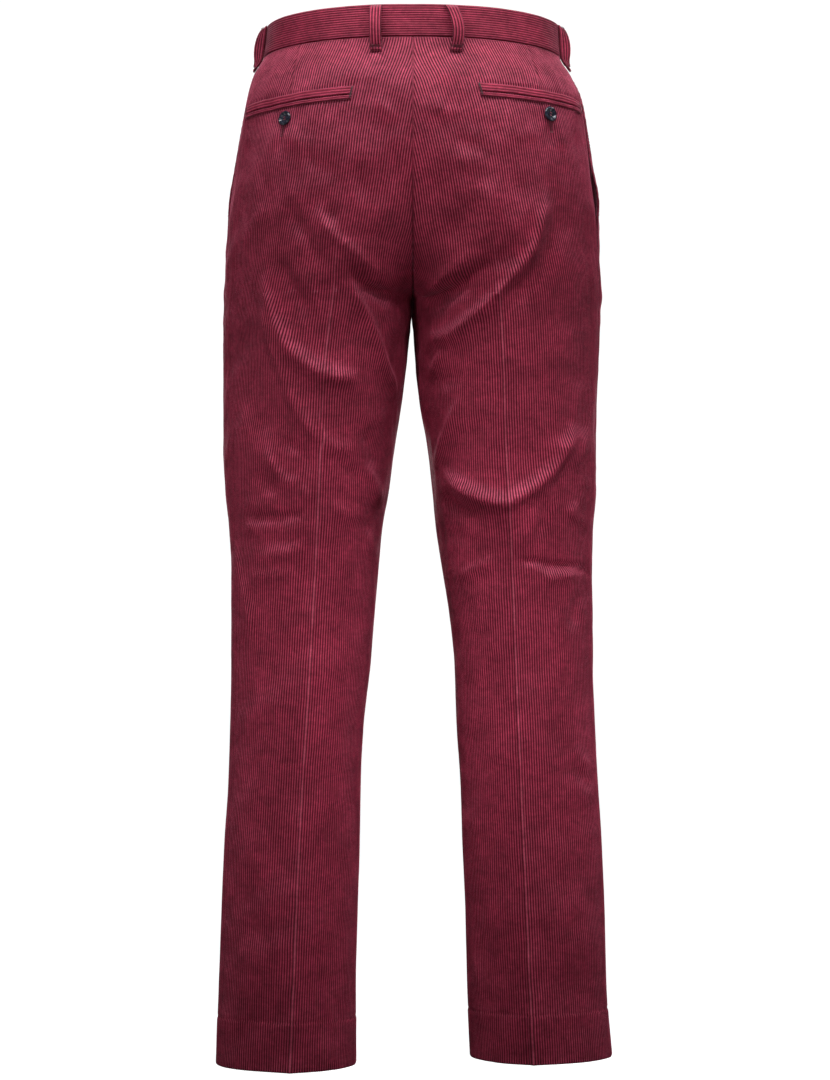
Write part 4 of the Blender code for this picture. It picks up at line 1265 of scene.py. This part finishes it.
# ---------------------------------------------------------------- buttons
def button(name, centre, facing, node, spin):
    """A four-hole button with a raised rim and a dished middle, sewn on with two bars of thread."""
    profile = np.array([(0.0, 1.72), (1.0, 1.70), (2.4, 1.62), (3.3, 1.60), (4.1, 1.86), (4.9, 2.42), (5.4, 3.02), (5.9, 3.2),
                        (6.5, 3.12), (7.1, 2.75), (7.6, 2.05), (7.55, 1.2), (6.9, 0.45), (5.6, 0.2)])
    run = np.concatenate([[0], np.cumsum(np.hypot(*np.diff(profile, axis=0).T))])
    t = np.linspace(0, run[-1], 46)
    radius, height = np.interp(t, run, profile[:, 0]), np.interp(t, run, profile[:, 1])
    turns = 72
    angle = np.arange(turns) * 2 * math.pi / turns
    n = np.asarray(facing, float)
    up = np.array((0.0, 0.0, 1.0)) - n * n[2]
    up /= np.linalg.norm(up)
    side = np.cross(up, n)
    holes = [(1.9 * math.cos(math.radians(45 + 90 * k)), 1.9 * math.sin(math.radians(45 + 90 * k))) for k in range(4)]

    def place(x, y, h):
        c, s = math.cos(spin), math.sin(spin)
        return centre + side * (x * c - y * s) + up * (x * s + y * c) + n * h
    verts = []
    for rad, h in zip(radius[1:], height[1:]):
        for a in angle:
            x, y = rad * math.cos(a), rad * math.sin(a)
            sunk = 0.0
            if rad < 3.4:
                d = min(math.hypot(x - hx, y - hy) for hx, hy in holes)
                sunk = 1.35 * (1 - min(1.0, max(0.0, (d - 0.55) / 0.35)))
            verts.append(place(x, y, h - sunk))
    rings = len(radius) - 1
    v = np.arange(rings * turns).reshape(rings, turns)
    w = np.roll(v, -1, axis=1)
    quads = np.stack([v[:-1], v[1:], w[1:], w[:-1]], -1).reshape(-1, 4)
    verts += [place(0, 0, height[0]), place(0, 0, height[-1])]
    top, low = len(verts) - 2, len(verts) - 1
    tris = [(top, v[0, k], w[0, k]) for k in range(turns)] + [(low, w[-1, k], v[-1, k]) for k in range(turns)]
    obj = ride(add_mesh(name, verts, [quads, tris], NAVY), node, slot="button")
    threads = []
    for (ax, ay), (bx, by) in ((holes[0], holes[1]), (holes[3], holes[2])):
        for shift in (-0.28, 0.0, 0.28):
            threads.append((place(ax, ay + shift, 1.75), place(bx, by + shift, 1.75)))
    return threads


button_threads, hole_stitches = [], []
for half, side in SIDES:
    x, z = BUTTONS[half]
    panel = PANELS[half, "back"]
    here, _, length = loop(half, z)
    s = back_at(half, x)(z)
    _, s_crease, _ = stations(half, "back", z)
    r = s - s_crease
    p, n = panel.at(z, r, 0.5)
    button_threads += button(f"{side}_pocket_button", p, n, f"back_pocket_{side}_button", 0.15 if half == "L" else -0.2)
    # the buttonhole runs from the lower lip down past the button; its tail shows below
    tail = (2.0, -3.0)[half == "R"] * 0.5
    for k in range(34):
        f = k / 33
        zz = z + 4.0 - 21.0 * f
        rr = r + tail * f
        for way in (-1, 1):
            a, _ = panel.at(zz, rr + way * 0.35, 0.75)
            b, _ = panel.at(zz - 0.12, rr + way * 1.75, 0.62)
            hole_stitches.append((a, b))
    for k in range(7):
        a, _ = panel.at(z - 17.4 - 0.1 * abs(k - 3), r + tail + (k - 3) * 0.5, 0.78)
        b, _ = panel.at(z - 16.2, r + tail + (k - 3) * 0.5, 0.78)
        hole_stitches.append((a, b))

here, normal, length = loop("R", 0.0)
spot = length[-1] - 22.0
centre = np.array([np.interp(spot, length, here[:, k]) for k in range(3)])
facing = np.array([np.interp(spot, length, normal[:, k]) for k in range(3)])
facing /= np.linalg.norm(facing)
button_threads += button("front_waist_button", centre + facing * 4.2, facing, "waist_button", 0.0)
capsules("button_threads", button_threads, 0.19, THREAD, slot="button")
capsules("buttonhole_stitches", hole_stitches, 0.17, THREAD)
capsules("bar_tacks", tacks, 0.24, THREAD)
capsules("pocket_end_stitches", pocket_ends, 0.24, TAPE)

# ---------------------------------------------------------------- topstitching of the front
stitches = []
front = PANELS["L", "front"]


def run_stitches(panel, line, pitch, stitch, out):
    """Stitches of one length along a line of (height, distance from the inner edge or the side)."""
    p, n = panel.at(line[:, 0], line[:, 1], np.full(len(line), out))
    run = np.concatenate([[0], np.cumsum(np.linalg.norm(np.diff(p, axis=0), axis=1))])
    for start in np.arange(1.0, run[-1] - stitch, pitch):
        stitches.append(tuple(np.array([np.interp(q, run, p[:, k]) for k in range(3)]) for q in (start, start + stitch)))


# the fly's curved line, and a line along each slanted pocket mouth
t = np.linspace(0, 1, 90)
fly_z = np.where(t < 0.72, -19 - 128 * t / 0.72, -147 - 26 * np.sin((t - 0.72) / 0.28 * math.pi / 2))
fly_d = np.where(t < 0.72, 33.0, 33.0 * np.cos(np.clip((t - 0.72) / 0.28, 0, 1) * math.pi / 2) + 1.5)
fly_r = np.interp(-fly_z, -front.z, front.r_in) + fly_d
run_stitches(front, np.stack([fly_z, fly_r], 1), 3.4, 2.5, 0.55)
for half, side in SIDES:
    panel = PANELS[half, "front"]
    z_line = np.linspace(-19, -182, 80)
    r_line = np.interp(-z_line, -panel.z, panel.r_side) - 6.0
    run_stitches(panel, np.stack([z_line, r_line], 1), 3.4, 2.5, 0.5)
capsules("front_stitches", stitches, 0.26, THREAD)

# ---------------------------------------------------------------- zip: teeth on its chain
teeth = []
for k, z in enumerate(np.arange(-44.0, -172.0, -1.9)):
    half = "L" if k % 2 else "R"
    here, _, length = loop(half, z)
    y = float(np.interp(length[-1] - 2.0, length, here[:, 1])) + 5.4 - 1.1
    zz = float(np.interp(length[-1] - 2.0, length, here[:, 2]))
    x = 0.6 if half == "L" else -0.6
    teeth.append(((x - 1.6, y - 0.25, zz), (x + 1.6, y - 0.25, zz)))
capsules("zip_teeth", teeth, 0.62, METAL, slot="zip")
zip_node = bpy.data.objects.get("fly_zip") or next(o for o in bpy.data.objects if o.name.startswith("fly_zip"))
for slot in zip_node.material_slots:
    slot.material = TAPE

# ---------------------------------------------------------------- pieces on each panel, gathered and not used further
for (half, face), obj in CLOTH.items():
    panel = PANELS[half, face]
    extras = JETS[half] + [SEAMS[half, "in"], SEAMS[half, "side"]] if face == "back" else []
    if half == "L":
        extras = extras + [SEAMS[face]]

# ---------------------------------------------------------------- floor, light and camera
scene = bpy.context.scene
scene.view_settings.view_transform = "Standard"

floor_mat, tree, shader = nodes_of("pale_floor")
tree.links.new(mix_colour(tree, "MIX", noise(tree, 3.0), (0.50, 0.50, 0.50), (0.54, 0.54, 0.54)), shader.inputs["Base Color"])
shader.inputs["Roughness"].default_value = 0.9
shader.inputs["Emission Color"].default_value = (1.0, 1.0, 1.0, 1.0)
shader.inputs["Emission Strength"].default_value = 0.97
mesh = bpy.data.meshes.new("floor")
mesh.from_pydata([(-9, -9, -1.11), (9, -9, -1.11), (9, 9, -1.11), (-9, 9, -1.11)], [], [(0, 1, 2, 3)])
mesh.materials.append(floor_mat)
floor = bpy.data.objects.new("floor", mesh)
scene.collection.objects.link(floor)
floor.visible_diffuse = floor.visible_glossy = False

world = bpy.data.worlds.new("studio")
scene.world = world
world.use_nodes = True
tree = world.node_tree
tree.nodes.clear()
seen, lit = tree.nodes.new("ShaderNodeBackground"), tree.nodes.new("ShaderNodeBackground")
seen.inputs[0].default_value, seen.inputs[1].default_value = (1, 1, 1, 1), 1.05
lit.inputs[0].default_value, lit.inputs[1].default_value = (1, 0.98, 0.98, 1), 0.10
path, mix = tree.nodes.new("ShaderNodeLightPath"), tree.nodes.new("ShaderNodeMixShader")
out = tree.nodes.new("ShaderNodeOutputWorld")
tree.links.new(path.outputs["Is Camera Ray"], mix.inputs[0])
tree.links.new(lit.outputs[0], mix.inputs[1])
tree.links.new(seen.outputs[0], mix.inputs[2])
tree.links.new(mix.outputs[0], out.inputs[0])


def area_light(name, place, aim, size, power):
    light = bpy.data.lights.new(name, "AREA")
    light.shape = "RECTANGLE"
    light.size, light.size_y = size
    light.energy = power
    obj = bpy.data.objects.new(name, light)
    scene.collection.objects.link(obj)
    obj.location = place
    way = np.array(aim, float) - np.array(place, float)
    yaw, flat = math.atan2(way[1], way[0]), math.hypot(way[0], way[1])
    obj.rotation_euler = (math.atan2(flat, -way[2]), 0.0, yaw - math.pi / 2)
    return obj


def round_light(name, place, aim, power, spread):
    """A soft round light that fades out from its middle; those on the legs end at crotch and hems."""
    light = bpy.data.lights.new(name, "SPOT")
    light.energy = power
    light.spot_size, light.spot_blend = math.radians(spread), 1.0
    light.shadow_soft_size = 0.22
    obj = bpy.data.objects.new(name, light)
    scene.collection.objects.link(obj)
    obj.location = place
    way = np.array(aim, float) - np.array(place, float)
    obj.rotation_euler = (math.atan2(math.hypot(way[0], way[1]), -way[2]), 0.0,
                          math.atan2(way[1], way[0]) - math.pi / 2)


for way, part in ((1, ""), (-1, "front_")):
    area_light(f"{part}key", (-0.12, 1.30 * way, 1.30), (0.0, 0.0, -0.30), (1.2, 0.6), 2.0 if way == 1 else 5.0)
    area_light(f"{part}waist", (-0.03, 0.228 * way, 0.205), (-0.02, 0.13 * way, -0.04), (0.8, 0.05), 2.0)
    for x, side, power in ((0.95, "left", 34.0), (-0.95, "right", 15.0)):
        round_light(f"{part}{side}_cross", (x, 1.75 * way, -0.36), (-0.05 * x, 0.0, -0.42), power, 27.0)
    for x, side, power in ((0.10, "left", 196.0), (-0.10, "right", 250.0)):
        round_light(f"{part}{side}_leg", (x - 0.32, 2.2 * way, 1.60), (x, 0.05 * way, -0.665), power, 11.3)
area_light("left", (1.6, 0.50, -0.55), (0.0, 0.0, -0.50), (0.5, 0.8), 2.6)
area_light("right", (-1.6, 0.50, -0.55), (0.0, 0.0, -0.50), (0.5, 0.8), 3.7)

data = bpy.data.cameras.new("camera")
data.lens, data.sensor_width = 110.0, 36.0
camera = bpy.data.objects.new("camera", data)
scene.collection.objects.link(camera)
camera.location = (-0.00206, 3.4, -0.5109)
camera.rotation_euler = (math.pi / 2, 0.0, math.pi)
scene.camera = camera
